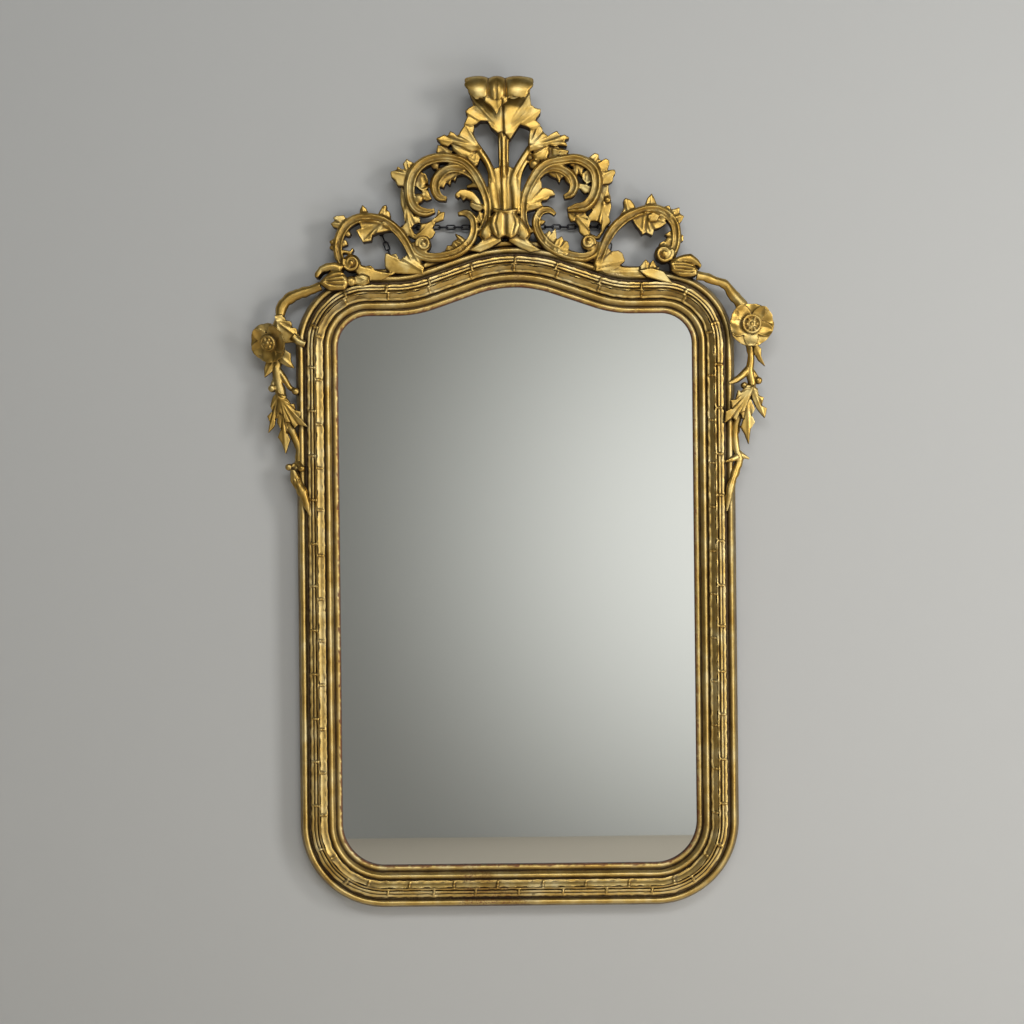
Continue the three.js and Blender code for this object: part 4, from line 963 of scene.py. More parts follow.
def points_and_notches(spots):
    """The places where an outline that runs anticlockwise comes to a point or turns inwards."""
    before, after = spots - np.roll(spots, 1, axis=0), np.roll(spots, -1, axis=0) - spots
    turn = np.arctan2(before[:, 0] * after[:, 1] - before[:, 1] * after[:, 0], np.sum(before * after, axis=1))
    return spots[turn > math.radians(62)], spots[turn < -math.radians(28)]


EDGE_EASE = 1.5
RIDGE_SHARE = 0.13
RIDGE_WIDTHS = (1.0, 3.2)
CUT_WIDTH = 1.5
CUT_REACH = 0.75


def model_blade(tool, across, up):
    """How far one blade's carving moves each place on its front, in millimetres."""
    spots = tool["outline"]
    rim, _ = away_from_line(np.vstack([spots, spots[:1]]), across, up)
    inward = np.clip(1 - rim / (1.6 * EDGE_EASE), 0, 1)
    push = -EDGE_EASE * (1 - np.sqrt(1 - inward**2))
    push -= tool["cup"] * np.clip(rim / 6, 0, 1)
    if tool["root"] is None:
        return push
    root = np.array(tool["root"], float)
    points, notches = points_and_notches(spots)
    for tip in points:
        reach = np.hypot(*(tip - root))
        away, share = away_from_line([tip, root], across, up)
        width = np.clip(RIDGE_SHARE * reach * share, *RIDGE_WIDTHS)
        crest_line = np.sin(np.clip(share * 1.2, 0, 1) * math.pi * 0.8)
        push += tool["ridge"] * np.exp(-((away / width) ** 2)) * crest_line
    for notch in notches:
        end = notch + CUT_REACH * (root - notch)
        away, share = away_from_line([notch, end], across, up)
        push -= tool["cut"] * np.exp(-((away / CUT_WIDTH) ** 2)) * (1 - share)
    return push


def model_stroke(tool, across, up):
    away, share = away_from_line(tool["line"], across, up)
    ends = np.clip(np.minimum(share, 1 - share) * 6 + 0.4, 0, 1)
    return -tool["depth"] * np.exp(-((away / (tool["width"] / 2)) ** 2)) * ends


def model_skin(piece):
    """Works every blade and stroke noted down since the last piece into the skin."""
    points, _, normals = mesh_arrays(piece.data)
    across, up = drawn_at(points[:, 0] / MM, points[:, 2] / MM)
    height = -points[:, 1] / MM
    fronts = np.clip(-1.8 * normals[:, 1] - 0.4, 0, 1)
    push = np.zeros(len(points))
    for tool in modelled_now:
        is_blade = "outline" in tool
        line = np.array(tool["outline" if is_blade else "line"], float)
        margin = 0 if is_blade else tool["width"] * 1.5
        low, high = (tool["front"] - 2.6, tool["front"] + 2.6) if is_blade else (tool["low"], tool["high"])
        (x0, z0), (x1, z1) = line.min(axis=0) - margin, line.max(axis=0) + margin
        near = (across > x0) & (across < x1) & (up > z0) & (up < z1) & (height > low) & (height < high)
        near = np.flatnonzero(near & (fronts > 0))
        if is_blade:
            near = near[inside_outline(line, across[near], up[near])]
        model = model_blade if is_blade else model_stroke
        push[near] += model(tool, across[near], up[near])
    modelled_now.clear()
    points[:, 1] -= np.clip(push, -10, 5) * fronts * MM
    piece.data.vertices.foreach_set("co", points.astype(np.float32).ravel())
    piece.data.update()


# %% The crest in one skin


def wrap(name, voxel, most_triangles):
    """Joins the members made since the last piece, and wraps, models, measures and thins them."""
    choose(carved_now)
    bpy.ops.object.join()
    piece = bpy.context.object
    piece.name = name
    piece.data.name = name
    carved_now.clear()
    apply_modifier(piece, "REMESH", mode="VOXEL", voxel_size=voxel * MM, adaptivity=0)
    apply_modifier(piece, "SMOOTH", factor=0.5, iterations=1)
    keep_main_body(piece)
    model_skin(piece)
    apply_modifier(piece, "SMOOTH", factor=0.5, iterations=1)
    fine = measure_hollows(piece.data, 6, 0.55)
    broad = measure_hollows(piece.data, 40, 2.6)
    dense, _, _ = mesh_arrays(piece.data)
    choose([piece])
    ratio = most_triangles / (2 * len(piece.data.polygons))
    if ratio < 1:
        apply_modifier(piece, "DECIMATE", ratio=ratio)
    tree = kdtree.KDTree(len(dense))
    for i, spot in enumerate(dense):
        tree.insert(spot, i)
    tree.balance()
    thinned, _, _ = mesh_arrays(piece.data)
    nearest = np.array([tree.find(spot)[1] for spot in thinned])
    write_attribute(piece, "hollow_fine", fine[nearest])
    write_attribute(piece, "hollow_broad", broad[nearest])
    choose([piece])
    bpy.ops.object.shade_smooth_by_angle(angle=math.radians(50))
    triangles = sum(len(face.vertices) - 2 for face in piece.data.polygons)
    print(name, triangles, "triangles, from", len(dense), "points")
    return piece


CREST_VOXEL = 1.5
palmette()
plume()
calyx()
left_scrolls()
left_outer_scroll()
right_scrolls()
right_outer_scroll()
foot_strip()
print("crest members", len(carved_now))
crest = wrap("carved_crest", CREST_VOXEL, 190000)

# %% [markdown]
# The sprays are cut in the round from thin stuff. A branch leaves the crest, bends over the
# shoulder and drops down the side with a flower, toothed leaves, buds and thorns. A flower is a
# ring of cupped petals, each its own small blank, set round a beaded eye.

# %% Flowers


BOUGH = 1.25


def facing(centre, turned, tipped):
    """A frame of three directions for a flower: right, up and out of its face."""
    turn = Matrix.Rotation(turned, 3, "Z") @ Matrix.Rotation(tipped, 3, "X")
    return Vector(centre), turn @ Vector((1, 0, 0)), turn @ Vector((0, 0, 1)), turn @ Vector((0, -1, 0))


def petal(place, angle, length, width, lift, dip, seed):
    """One cupped petal with a curled rim, laid on a flower's face at an angle."""
    centre, right, up, out = place
    draw = np.random.default_rng(seed)
    rows, columns = 19, 17
    share = np.linspace(0.12, 1, rows)[:, None]
    side = np.linspace(-1, 1, columns)[None, :]
    spread = np.clip(1 - ((share - 0.64) / 0.66) ** 2, 0.1, 1) ** 0.5
    reach = share * length * (1 - 0.2 * side**2 * share)
    reach = reach - 0.05 * length * np.exp(-((side / 0.2) ** 2)) * np.clip(share * 3 - 2, 0, 1)
    sideways = side * spread * width / 2 * (1 + draw.uniform(-0.05, 0.05))
    rise = lift * share**1.5 * length - dip * length * np.clip(share - 0.7, 0, 1) ** 2 * 6
    bowl = 0.11 * width * side**2 * np.sin(share * math.pi * 0.75) - 0.04 * width * np.sin(share * math.pi)
    crease = -1.6 * np.exp(-((side / 0.12) ** 2)) * np.clip(1.1 - share, 0, 1)
    top = rise + bowl + crease + 0.7 * np.cos(side * 9 + seed) * share
    c, s = math.cos(angle), math.sin(angle)
    faces = []
    for depth in (0.0, -5.0):
        flat_x = reach * c - sideways * s
        flat_y = reach * s + sideways * c
        thick = depth * np.clip(1.3 - share * 0.5, 0.6, 1)
        spots = [centre + right * float(a) + up * float(b) + out * float(h)
                 for a, b, h in zip(flat_x.ravel(), flat_y.ravel(), (top + thick).ravel())]
        faces.append(np.array(spots).reshape(rows, columns, 3))
    loop = np.concatenate([faces[0], faces[1][:, ::-1], faces[0][:, :1]], axis=1)
    blank = grid_blank("petal", loop.shape[0], loop.shape[1], loop)
    close_blank(blank)
    carved_now.append(blank)


def ball(spot, radius, squash=1.0):
    deselect()
    bpy.ops.mesh.primitive_uv_sphere_add(segments=20, ring_count=12, radius=radius * MM,
                                         location=Vector(spot) * MM, scale=(1, squash, 1))
    bead = bpy.context.object
    bpy.ops.object.transform_apply(location=True, rotation=True, scale=True)
    carved_now.append(bead)


def ring(centre, right, upward, radius, thickness):
    """A small raised ring, made of balls set close together."""
    steps = 26
    for k in range(steps):
        turn = 2 * math.pi * k / steps
        ball(centre + right * (radius * math.cos(turn)) + upward * (radius * math.sin(turn)), thickness)


def flower(across, up, radius, front, petals, turned, tipped, eye=0.2):
    """Petals are given as an angle in degrees, a share of the radius, and how far each lifts."""
    x, z = carved_at(across, up)
    place = facing((x, -front, z), turned, tipped)
    centre, right, upward, out = place
    for k, (angle, size, lift) in enumerate(petals):
        petal(place, math.radians(angle), radius * size, radius * 1.34, lift, 0.10, 60 + k)
    ball(centre - out * radius * 0.16, radius * 0.46, 0.8)
    ring(centre + out * radius * 0.14, right, upward, radius * eye * 1.7, radius * 0.07)
    for k in range(6):
        turn = 2 * math.pi * k / 6
        spot = centre + right * (radius * eye * math.cos(turn)) + upward * (radius * eye * math.sin(turn))
        ball(spot + out * radius * 0.16, radius * 0.075)
    ball(centre + out * radius * 0.14, radius * 0.11)


def bough(points, widths, heights, **kind):
    """A branch of a spray, a little stouter than the crest's stems."""
    return stem(points, [BOUGH * width for width in widths], heights, **kind)


# %% The left spray


def left_spray():
    bough([(-384, -38), (-404, -46), (-424, -52), (-445, -61), (-462, -78), (-467, -106)],
          [14, 16, 18, 19, 18, 15], [48, 46, 46, 46, 46, 46], knots=0.12, seed=3)
    bough([(-464, -98), (-474, -130), (-474, -196)], [15, 20, 13], [46, 48, 44])
    blade([(-476, -98), (-462, -96), (-452, -108), (-443, -110), (-441, -121), (-432, -124), (-430, -134),
           (-420, -148), (-440, -152), (-466, -154)], 50, root=(-474, -108), thick=13)
    bough([(-440, -140), (-428, -150), (-414, -156)], [13, 12, 11], [54, 55, 55])
    flower(-486, -154, 41, 60, [(100, 0.98, 0.1), (172, 0.98, 0.06), (236, 1.0, 0.04), (300, 0.98, 0.16),
                                (20, 0.96, 0.26)], -0.35, 0.25)
    blade([(-474, -172), (-458, -164), (-444, -174), (-444, -188), (-436, -204), (-452, -200),
           (-466, -192)], 46, root=(-472, -176), thick=11)
    blade([(-484, -184), (-476, -198), (-484, -212), (-497, -222), (-498, -204), (-494, -190)], 43,
          root=(-480, -188), thick=10)
    bough([(-474, -184), (-472, -214), (-468, -240), (-460, -272), (-456, -296)], [14, 16, 17, 16, 13],
         [44, 46, 46, 46, 46], knots=0.15, seed=4)
    bough([(-468, -208), (-456, -226), (-446, -242), (-435, -249)], [10, 10, 9, 8], [44, 46, 46, 47])
    dome(-434, -250, 7.5, 53, back=34)
    dome(-482, -244, 7.5, 49, back=32)
    bough([(-474, -222), (-480, -234), (-482, -244)], [8, 8, 7], [43, 43, 43])
    blade([(-470, -250), (-480, -262), (-485, -280), (-481, -290), (-491, -300), (-486, -312), (-489, -334),
           (-476, -320), (-474, -306), (-467, -298), (-462, -272)], 49, root=(-468, -256), thick=11)
    blade([(-470, -254), (-453, -260), (-443, -275), (-435, -275), (-433, -288), (-422, -291), (-423, -303),
           (-408, -322), (-428, -317), (-434, -324), (-443, -312), (-453, -313), (-458, -298),
           (-468, -290)], 60, root=(-466, -262), thick=14)
    blade([(-466, -288), (-454, -300), (-450, -320), (-452, -332), (-445, -346), (-454, -376), (-462, -354),
           (-470, -342), (-464, -326), (-472, -312)], 47, root=(-460, -292), thick=11)
    bough([(-456, -286), (-446, -320), (-436, -344), (-428, -366), (-430, -396), (-438, -412)],
          [13, 13, 13, 12, 13, 13], [46, 46, 46, 45, 44, 44], knots=0.15, seed=5)
    bough([(-432, -396), (-446, -402)], [9, 8], [42, 44])
    dome(-448, -402, 7, 49, back=34)
    bough([(-430, -392), (-422, -402)], [9, 8], [46, 54])
    dome(-421, -405, 6.5, 60, back=36)
    blade([(-444, -406), (-434, -408), (-426, -424), (-424, -440), (-434, -446), (-444, -430)], 54,
          root=(-438, -408), thick=11)
    bough([(-438, -406), (-430, -432), (-418, -456), (-411, -478), (-405, -500)], [12, 16, 17, 12, 3],
         [46, 56, 60, 58, 52], knots=0.18, seed=6)


left_spray()
sprig = wrap("carved_left_spray", 1.0, 90000)

# %% The right spray


def right_spray():
    bough([(370, -18), (388, -21), (404, -27), (428, -35), (443, -54), (460, -74), (468, -96)],
         [15, 15, 14, 15, 18, 20, 17], [58, 54, 50, 48, 48, 49, 48], knots=0.1, seed=8)
    bough([(462, -88), (476, -118), (478, -160)], [16, 22, 13], [48, 54, 44])
    flower(477, -117, 45, 66, [(92, 0.92, 0.1), (12, 1.02, 0.12), (-56, 1.0, 0.06), (-128, 1.0, 0.08),
                               (165, 0.98, 0.2)], 0.06, 0.0, eye=0.22)
    blade([(464, -148), (448, -158), (440, -170), (428, -184), (446, -180), (462, -168)], 54,
          root=(464, -156), thick=11)
    blade([(486, -150), (500, -164), (500, -180), (508, -200), (494, -188), (484, -170)], 48,
          root=(486, -156), thick=11)
    bough([(478, -152), (480, -184), (478, -208), (482, -236), (478, -266)], [13, 11, 13, 14, 13],
          [44, 45, 46, 46, 46], knots=0.12, seed=9)
    bough([(478, -200), (464, -216), (448, -228), (434, -234)], [11, 12, 11, 5], [44, 48, 52, 54])
    bough([(480, -206), (490, -220), (494, -226)], [9, 9, 8], [43, 43, 43])
    dome(495, -228, 7.5, 49, back=34)
    dome(466, -238, 6.5, 55, back=36)
    blade([(486, -238), (470, -238), (458, -251), (452, -248), (447, -266), (437, -269), (440, -284),
           (427, -291), (425, -314), (440, -303), (448, -309), (455, -294), (465, -290), (472, -272)], 60,
          root=(480, -244), thick=14)
    blade([(478, -236), (492, -244), (495, -258), (505, -262), (501, -278), (511, -284), (507, -304),
           (496, -292), (488, -280), (480, -262)], 51, root=(482, -242), thick=12)
    blade([(462, -262), (478, -266), (487, -286), (480, -298), (487, -312), (478, -326), (474, -357),
           (466, -336), (458, -322), (463, -306), (455, -290)], 54, root=(472, -268), thick=12)
    bough([(472, -262), (456, -296), (448, -330), (450, -362), (456, -388), (448, -412), (438, -442),
           (430, -490)], [13, 13, 15, 12, 14, 13, 14, 4], [46, 46, 46, 46, 48, 54, 58, 52], knots=0.18,
          seed=10)
    bough([(454, -374), (466, -380), (477, -385)], [13, 8, 3], [46, 44, 42])
    bough([(454, -380), (442, -386), (427, -391)], [13, 8, 3], [50, 54, 54])


right_spray()
branch = wrap("carved_right_spray", 1.0, 90000)

# %% [markdown]
# The chain is plain welded steel chain with long links, and a screw eye in the top of the rail at
# each end. One link is bent from wire and copied, every other one turned on edge.

# %% Chain and eyes
WIRE = 3
LINK_WIDTH = 11.5
LINK_PITCH = 15
CHAIN_OFF_WALL = 9
EYE_RADIUS = 6
LEFT_EYE = (-240, 6)
LEFT_HOOK = (-270, 80)
RIGHT_HOOK = (198, 82)
RIGHT_EYE = (186, 16)


def on_wall(spot):
    x, z = hung(*spot)
    return Vector((x, -CHAIN_OFF_WALL, z))


def one_link():
    """A ring of wire drawn out to a long link, lying flat with its length along X."""
    deselect()
    bend = (LINK_WIDTH - WIRE) / 2
    bpy.ops.mesh.primitive_torus_add(major_radius=bend * MM, minor_radius=WIRE / 2 * MM, major_segments=20,
                                     minor_segments=8)
    link = bpy.context.object
    stretch = (LINK_PITCH / 2 + WIRE / 2 - bend) * MM
    for point in link.data.vertices:
        point.co.x += stretch if point.co.x > 1e-7 else -stretch
    return link


def chain_joints():
    corners = [on_wall(spot) for spot in (LEFT_EYE, LEFT_HOOK, RIGHT_HOOK, RIGHT_EYE)]
    joints = [corners[0]]
    for before, after in zip(corners[:-1], corners[1:]):
        count = round((after - before).length / LINK_PITCH)
        joints += [before.lerp(after, k / count) for k in range(1, count + 1)]
    return joints


def turned_to(run, on_edge):
    """Turns a link's length to its run, and its flat face to the wall or square to it."""
    wall = Vector((0, 1, 0))
    flat = run.cross(wall).normalized() if on_edge else wall
    third = flat.cross(run).normalized()
    return Matrix((run, third, flat)).transposed().to_4x4()


def make_chain():
    pattern = one_link()
    joints = chain_joints()
    links = []
    for k, (before, after) in enumerate(zip(joints[:-1], joints[1:])):
        copy = bpy.data.objects.new("link", pattern.data.copy())
        bpy.context.scene.collection.objects.link(copy)
        run = (after - before).normalized()
        copy.data.transform(Matrix.Translation((before + after) / 2 * MM) @ turned_to(run, k % 2 == 1))
        links.append(copy)
    bpy.data.objects.remove(pattern)
    choose(links)
    bpy.ops.object.join()
    chain = bpy.context.object
    chain.name = "steel_chain"
    bpy.ops.object.shade_smooth()
    print("links", len(links))
    return chain, joints


def make_eye(name, node, pull, on_edge):
    """A ring with a shank that runs down into the rail."""
    low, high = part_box(node)
    centre = Vector(((low.x + high.x) / 2, (low.y + high.y) / 2, high.z - (EYE_RADIUS + WIRE / 2) * MM))
    deselect()
    bpy.ops.mesh.primitive_torus_add(major_radius=EYE_RADIUS * MM, minor_radius=WIRE / 2 * MM,
                                     major_segments=24, minor_segments=10)
    ring = bpy.context.object
    ring.data.transform(Matrix.Translation(centre) @ turned_to(pull, on_edge))
    deselect()
    top = centre.z - EYE_RADIUS * MM
    bpy.ops.mesh.primitive_cylinder_add(vertices=14, radius=WIRE / 2 * MM, depth=top - low.z,
                                        location=(centre.x, centre.y, (top + low.z) / 2))
    shank = bpy.context.object
    bpy.ops.object.transform_apply(location=True, rotation=True, scale=True)
    choose([ring, shank])
    bpy.ops.object.join()
    ring.name = name
    bpy.ops.object.shade_smooth_by_angle(angle=math.radians(40))
    return ring


chain, joints = make_chain()
left_eye = make_eye("left_eye", "left_screw_eye", (joints[1] - joints[0]).normalized(), True)
right_eye = make_eye("right_eye", "right_screw_eye", (joints[-2] - joints[-1]).normalized(),
                     len(joints) % 2 == 0)

# %% [markdown]
# Now the finishes. One function turns a colour from its sRGB hex value to the linear values that
# the shader reads, and one adds a node with its settings and links.

# %% Helpers: colours and nodes


def linear(hex_colour):
    channels = [int(hex_colour[i : i + 2], 16) / 255 for i in (1, 3, 5)]
    return [c / 12.92 if c <= 0.04045 else ((c + 0.055) / 1.055) ** 2.4 for c in channels] + [1.0]


def node(tree, kind, *feeds, out=0, settings=None, stops=(), **links):
    """Adds a node and gives one of its outputs. A feed is a number, a colour or another output.

    Feeds go to the inputs in order, and links to the inputs they name, or number as i6 does. Stops
    are the (place, hex colour) stops of a colour ramp.
    """
    added = tree.nodes.new(kind)
    for key, value in (settings or {}).items():
        setattr(added, key, value)
    for k in range(2, len(stops)):
        added.color_ramp.elements.new(k / len(stops))
    for k, (place, colour) in enumerate(stops):
        added.color_ramp.elements[k].position = place
        added.color_ramp.elements[k].color = linear(colour)
    wanted = [(added.inputs[k], feed) for k, feed in enumerate(feeds)]
    for key, feed in links.items():
        numbered = key[0] == "i" and key[1:].isdigit()
        wanted.append((added.inputs[int(key[1:]) if numbered else key.replace("_", " ")], feed))
    for socket, feed in wanted:
        if isinstance(feed, bpy.types.NodeSocket):
            tree.links.new(feed, socket)
        else:
            socket.default_value = feed
    return added.outputs[out] if added.outputs else None


def new_finish(name):
    finish = bpy.data.materials.new(name)
    finish.use_nodes = True
    tree = finish.node_tree
    tree.nodes.clear()
    return finish, tree


# %% [markdown]
# Water gilding: leaf of 22 carat gold laid over red clay bole on white gesso, then burnished with
# an agate. Burnished leaf is a metal mirror seen through a brown size that has been wiped off the
# high places, so the tops are pale and bright and the hollows are a dull brown. The brown is also
# painted shade: places shut in by nearby surfaces are darkened towards it, and the hollows and the
# sides that face across the wall are darkened both for toning and as painted shade. Where hands
# and dusters have rubbed, the red clay shows. Gold is a metal, so Metallic is one on sound leaf and
# it falls where toning, painted shade and clay cover it. A thin coat over all is the old size.

# %% Old water gilding
COORDINATES = "ShaderNodeTexCoord"
MEASURED = "ShaderNodeAttribute"
CLOUDS = "ShaderNodeTexNoise"
# A map range reads a value between two limits as a share, and clamps it.
SHARE = "ShaderNodeMapRange"
MATHS = "ShaderNodeMath"
MIX = "ShaderNodeMix"
BUMP = "ShaderNodeBump"
SURFACE = "ShaderNodeBsdfPrincipled"
RESULT = "ShaderNodeOutputMaterial"
TIMES = {"operation": "MULTIPLY"}
TIMES_PLUS = {"operation": "MULTIPLY_ADD"}
LARGER = {"operation": "MAXIMUM"}
COLOURS = {"data_type": "RGBA"}


def gilding(name, worn):
    finish, tree = new_finish(name)
    place = node(tree, COORDINATES, out="Object")
    clouds, patches, grit, gesso = (
        node(tree, CLOUDS, Vector=place, Scale=1 / size, Detail=detail, Roughness=roughness)
        for size, detail, roughness in ((0.045, 4, 0.6), (0.15, 3, 0.5), (0.0035, 3, 0.6), (0.011, 5, 0.65))
    )
    measures = ("hollow_fine", "hollow_broad") + (("relief", "rubbed") if worn else ())
    read_off = {m: node(tree, MEASURED, settings={"attribute_name": m}, out="Fac") for m in measures}
    # Painted shade: ambient occlusion darkens places shut in by nearby surfaces towards the brown.
    near = node(tree, "ShaderNodeAmbientOcclusion", settings={"samples": 4},
                Distance=0.012 if worn else 0.02, out="AO")
    # Toning and painted shade: surfaces that face across the wall, not out from it, are darkened.
    outward = node(tree, "ShaderNodeSeparateXYZ", node(tree, COORDINATES, out="Normal"), out=1)
    side_toning_and_shade = node(tree, SHARE, outward, -0.62, -0.2)
    occlusion_shade = node(tree, SHARE, near, 0.76, 0.25)
    # The hollows are darkened both for the dirt and toning that stay there and as painted shade.
    fine = node(tree, SHARE, read_off["hollow_fine"], 0.08, 0.65)
    broad = node(tree, SHARE, read_off["hollow_broad"], 0.12, 0.75)
    dirt_and_shade = node(tree, MATHS, node(tree, MATHS, fine, broad, settings=LARGER), 0.6, settings=TIMES)
    layers = [(occlusion_shade, 0.6 if worn else 0.85), (side_toning_and_shade, 0.8 if worn else 0.95)]
    layers.append((node(tree, SHARE, patches, 0.5, 0.75), 0.2))
    if worn:
        cell = node(tree, SHARE, read_off["relief"], 0.25, -0.9, 0, 0.95)
        layers.append((cell, node(tree, SHARE, clouds, 0.35, 0.65, 1, 0.5)))
    for layer, amount in layers:
        dirt_and_shade = node(tree, MATHS, layer, amount, dirt_and_shade, settings=TIMES_PLUS)
    dirt_and_shade = node(tree, MATHS, dirt_and_shade, node(tree, SHARE, grit, 0.25, 0.7, 0.75, 1.15), settings=TIMES)
    dirt_and_shade = node(tree, SHARE, dirt_and_shade, 0.04, 0.95)
    leaf_tones = ("#D0A856", "#E6C679", "#F4E0A6") if worn else ("#AE8A40", "#C9A659", "#E0CA88")
    leaf = node(tree, "ShaderNodeValToRGB", clouds, stops=list(zip((0.3, 0.5, 0.7), leaf_tones)))
    # The leaf is mixed towards dark brown by dirt, toning and painted shade; the same mask dulls the metal.
    toned_and_shaded = node(tree, MIX, dirt_and_shade, i6=leaf, i7=linear("#3A2408"), settings=COLOURS, out=2)
    raised = node(tree, SHARE, read_off["hollow_fine"], -0.15, -0.6)
    patchy = node(tree, SHARE, patches, 0.62, 0.7)
    gritty = node(tree, SHARE, grit, 0.5, 0.62)
    bare = node(tree, MATHS, patchy, gritty, settings=TIMES)
    rubbed = node(tree, MATHS, raised, bare, settings=TIMES)
    if worn:
        rubbed = node(tree, MATHS, rubbed, read_off["rubbed"], settings=LARGER)
    clay = node(tree, MIX, node(tree, SHARE, grit, 0.35, 0.65), i6=linear("#5E2A18"), i7=linear("#8A4A2C"),
                settings=COLOURS, out=2)
    shows = node(tree, MATHS, rubbed, 0.85, settings=TIMES)
    colour = node(tree, MIX, shows, i6=toned_and_shaded, i7=clay, settings=COLOURS, out=2)
    covered_and_shaded = node(tree, MATHS, node(tree, MATHS, dirt_and_shade, 0.9, settings=TIMES), rubbed, settings=LARGER)
    metal = node(tree, SHARE, covered_and_shaded, 0.15, 1, 1, 0.2)
    burnish = node(tree, SHARE, clouds, 0.3, 0.7, 0.3, 0.42)
    gloss = node(tree, MATHS, covered_and_shaded, 0.3, burnish, settings=TIMES_PLUS)
    bump = node(tree, BUMP, Strength=0.3, Distance=0.0007, Height=gesso)
    bump = node(tree, BUMP, Strength=0.25, Distance=0.0003, Height=grit, Normal=bump)
    shader = node(tree, SURFACE, Base_Color=colour, Metallic=metal, Roughness=gloss, Coat_Weight=0.08,
                  Coat_Roughness=0.35, Normal=bump)
    node(tree, RESULT, Surface=shader)
    return finish


rail_gilding = gilding("burnished_water_gilding", worn=True)
carved_gilding = gilding("carved_water_gilding", worn=False)

# %% [markdown]
# The rail's hollows are measured in the same way. Its sight edge is worn to the clay all round,
# and patches of leaf are rubbed off in the cells.

# %% Wear on the rail
RUBBED_WIDTH = 3.2
RUBBED_ABOVE = 0.0275


def wear_rail(piece):
    write_attribute(piece, "hollow_fine", measure_hollows(piece.data, 6, 0.5))
    write_attribute(piece, "hollow_broad", measure_hollows(piece.data, 50, 3.0))
    points, _, _ = mesh_arrays(piece.data)
    x, z = points[:, 0] / MM, points[:, 2] / MM
    tree = kdtree.KDTree(len(sight_x))
    for i, (a, b) in enumerate(zip(sight_x, sight_z)):
        tree.insert((a, 0, b), i)
    tree.balance()
    found = [tree.find((a, 0, b)) for a, b in zip(x, z)]
    out = np.array([f[2] for f in found])
    along = walked[np.array([f[1] for f in found])]
    ragged = RUBBED_WIDTH + 1.6 * wander(along, 60, 11) + 1.2 * wander(along, 17, 12)
    front = points[:, 1] < -RUBBED_ABOVE
    rubbed = np.clip(ragged - out, 0, 1) * front * (wander(along, 25, 13) > -0.55)
    write_attribute(piece, "rubbed", rubbed)
    choose([piece])
    bpy.ops.object.shade_smooth_by_angle(angle=math.radians(60))


wear_rail(rail)

# %% [markdown]
# The plate is old silvered glass: a slightly grey metal mirror, with a little foxing at its edge.

# %% Silvered glass, pine and steel


def silvered_glass():
    finish, tree = new_finish("silvered_plate_glass")
    place = node(tree, COORDINATES, out="Object")
    ripples = node(tree, CLOUDS, Vector=place, Scale=1 / 0.35, Detail=1.0)
    spots = node(tree, CLOUDS, Vector=place, Scale=1 / 0.006, Detail=4.0, Roughness=0.7)
    foxed = node(tree, SHARE, spots, 0.73, 0.8)
    colour = node(tree, MIX, foxed, i6=linear("#D2D5D3"), i7=linear("#8E8672"), settings=COLOURS, out=2)
    gloss = node(tree, SHARE, foxed, 0, 1, 0.015, 0.25)
    bump = node(tree, BUMP, Strength=0.02, Distance=0.002, Height=ripples)
    shader = node(tree, SURFACE, Base_Color=colour, Metallic=1.0, Roughness=gloss, Normal=bump)
    node(tree, RESULT, Surface=shader)
    return finish


def old_pine():
    finish, tree = new_finish("old_sawn_pine")
    place = node(tree, COORDINATES, out="Object")
    drawn = node(tree, "ShaderNodeMapping", Vector=place, Scale=(1 / 0.012, 1 / 0.03, 1 / 0.25))
    grain = node(tree, CLOUDS, Vector=drawn, Scale=1.0, Detail=6.0, Distortion=0.8)
    stain = node(tree, CLOUDS, Vector=place, Scale=1 / 0.2, Detail=4.0)
    wood = node(tree, "ShaderNodeValToRGB", grain,
                stops=[(0.3, "#4E3420"), (0.5, "#7A5636"), (0.7, "#94704A")])
    stained = node(tree, SHARE, stain, 0.4, 0.7, 0, 0.6)
    colour = node(tree, MIX, stained, i6=wood, i7=linear("#3A281A"), settings=COLOURS, out=2)
    bump = node(tree, BUMP, Strength=0.4, Distance=0.001, Height=grain)
    shader = node(tree, SURFACE, Base_Color=colour, Roughness=0.82, Normal=bump)
    node(tree, RESULT, Surface=shader)
    return finish


def dull_steel():
    finish, tree = new_finish("dull_steel_wire")
    place = node(tree, COORDINATES, out="Object")
    tarnish = node(tree, CLOUDS, Vector=place, Scale=1 / 0.006, Detail=4.0)
    colour = node(tree, "ShaderNodeValToRGB", tarnish,
                  stops=[(0.35, "#26262A"), (0.55, "#4A4B50"), (0.75, "#5A4A3C")])
    gloss = node(tree, SHARE, tarnish, 0.3, 0.7, 0.32, 0.6)
    shader = node(tree, SURFACE, Base_Color=colour, Metallic=0.9, Roughness=gloss)
    node(tree, RESULT, Surface=shader)
    return finish


def finish_with(piece, finish):
    piece.data.materials.clear()
    piece.data.materials.append(finish)


silvering = silvered_glass()
pine = old_pine()
steel = dull_steel()
for piece, finish in (
    (rail, rail_gilding),
    (crest, carved_gilding),
    (sprig, carved_gilding),
    (branch, carved_gilding),
    (chain, steel),
    (left_eye, steel),
    (right_eye, steel),
    (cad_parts["mirror_glass"], silvering),
    (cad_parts["backboard"], pine),
):
    finish_with(piece, finish)

# %% [markdown]
# Each piece rides on the one body and stands for its plain solid.

# %% Pieces and the solids they stand for
for piece, plain, slot in (
    (rail, "frame", "water_gilding"),
    (crest, "crest", "carved_gilding"),
    (sprig, "left_spray", "carved_gilding"),
    (branch, "right_spray", "carved_gilding"),
    (chain, "hanging_chain", "dark_steel"),
    (left_eye, "left_screw_eye", "dark_steel"),
    (right_eye, "right_screw_eye", "dark_steel"),
):
    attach(piece, "root")
    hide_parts(plain)

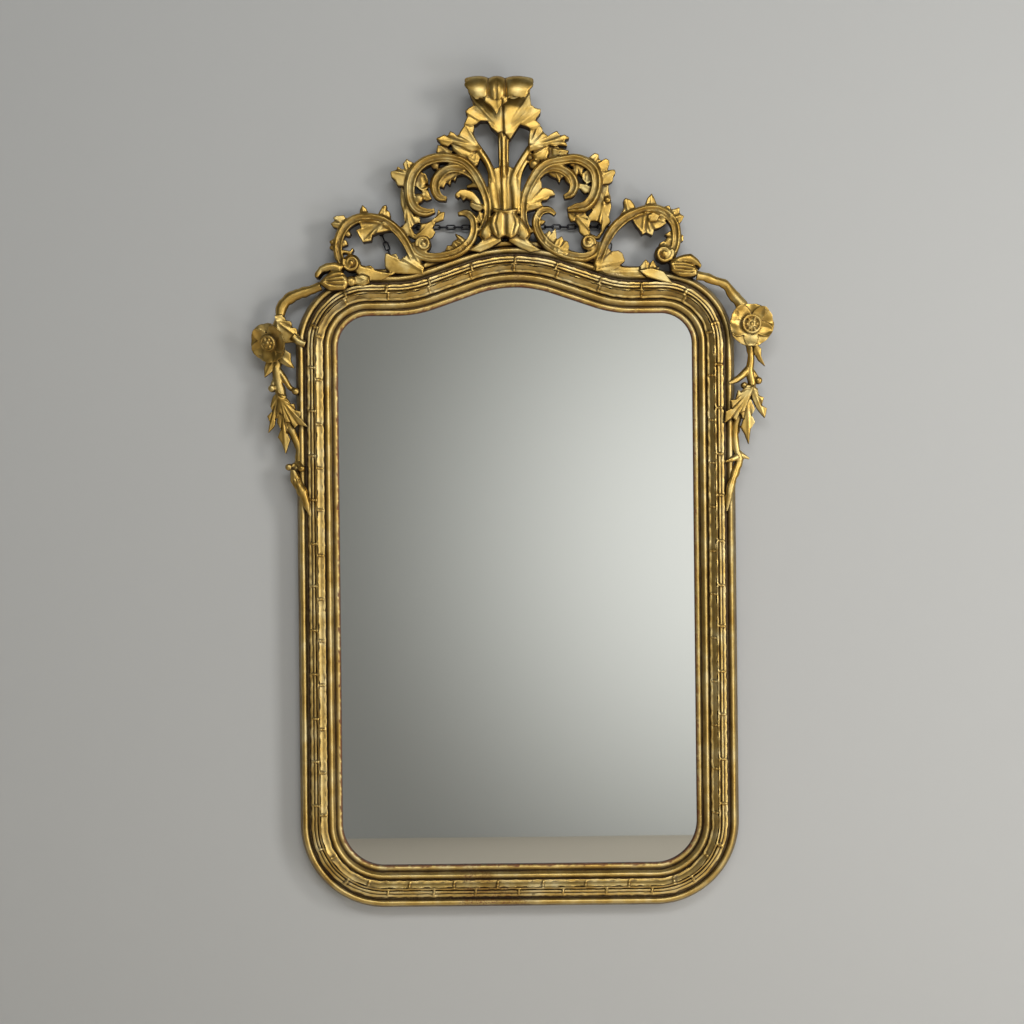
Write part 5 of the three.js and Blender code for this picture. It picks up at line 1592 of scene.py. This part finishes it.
# %% [markdown]
# The stage is plain: a pale wall close behind, a pale wall well in front for the glass to mirror,
# and a pale floor. The wall in front glows a little, more to the right than to the left, like the
# light end of a room, and that is what the glass shows. Both walls can be seen through from their
# backs, so the mirror shows from behind as well. The light is soft, from in front and the right.

# %% Stage and light
FLOOR_UP = -1960
FAR_WALL = -4500
WALL_GAP = 2
GLOW_MIDDLE = (1250, FAR_WALL, -550)
GLOW_REACH = (2.3, 0.2)


def studio_paint(name, colour, one_sided, glow=None):
    """Flat paint. Glow gives the light that it sends out, at its weakest and at its middle."""
    finish, tree = new_finish(name)
    shine = {}
    if glow:
        place = node(tree, COORDINATES, out="Object")
        middle = [value * MM for value in GLOW_MIDDLE]
        away = node(tree, "ShaderNodeVectorMath", place, middle, settings={"operation": "DISTANCE"},
                    out="Value")
        shine["Emission_Color"] = linear("#FDFCF8")
        shine["Emission_Strength"] = node(tree, SHARE, away, *GLOW_REACH, *glow,
                                          settings={"interpolation_type": "SMOOTHSTEP"})
    out = node(tree, SURFACE, Base_Color=linear(colour), Roughness=0.9, **shine)
    if one_sided:
        behind = node(tree, "ShaderNodeNewGeometry", out="Backfacing")
        clear = node(tree, "ShaderNodeBsdfTransparent")
        out = node(tree, "ShaderNodeMixShader", behind, out, clear)
    node(tree, RESULT, Surface=out)
    return finish


def sheet(name, size, place, turn, finish):
    deselect()
    bpy.ops.mesh.primitive_plane_add(size=1)
    made = bpy.context.object
    made.name = name
    scaled = Matrix.Diagonal((size[0] * MM, size[1] * MM, 1, 1))
    made.data.transform(Matrix.Translation(Vector(place) * MM) @ turn @ scaled)
    finish_with(made, finish)
    return made


facing_mirror = Matrix.Rotation(math.pi / 2, 4, "X")
facing_back = Matrix.Rotation(-math.pi / 2, 4, "X")
sheet("wall", (9000, 6000), (0, WALL_GAP, 0), facing_mirror, studio_paint("wall_paint", "#CFD1D1", True))
sheet("far_wall", (9000, 5200), (0, FAR_WALL, FLOOR_UP + 2600), facing_back,
      studio_paint("far_paint", "#8B8B86", True, glow=(0.17, 1.05)))
sheet("floor", (12000, 12000), (0, -2000, FLOOR_UP), Matrix.Identity(4),
      studio_paint("floor_paint", "#F4E8D6", False))


def soft_light(name, place, aim, size, watts, colour="#FFFFFF"):
    data = bpy.data.lights.new(name, "AREA")
    data.shape = "RECTANGLE"
    data.size, data.size_y = (side * MM for side in size)
    data.energy = watts
    data.color = linear(colour)[:3]
    lamp = bpy.data.objects.new(name, data)
    bpy.context.scene.collection.objects.link(lamp)
    direction = (Vector(aim) - Vector(place)).normalized()
    turned = direction.to_track_quat("-Z", "Y").to_matrix().to_4x4()
    lamp.matrix_world = Matrix.Translation(Vector(place) * MM) @ turned
    return lamp


soft_light("key", (2600, -2500, 250), (0, 0, -500), (800, 1100), 30, "#FFFBF5")
soft_light("high_front", (200, -4300, 1750), (0, 0, -400), (2600, 800), 46, "#FFFFFF")
soft_light("low_fill", (2500, -2500, -1500), (0, 0, -1000), (1000, 900), 15, "#F8FAFF")

world = bpy.data.worlds.new("studio")
bpy.context.scene.world = world
world.use_nodes = True
world.node_tree.nodes["Background"].inputs["Color"].default_value = linear("#DADCDE")
world.node_tree.nodes["Background"].inputs["Strength"].default_value = 0.12
bpy.context.scene.view_settings.view_transform = "Standard"
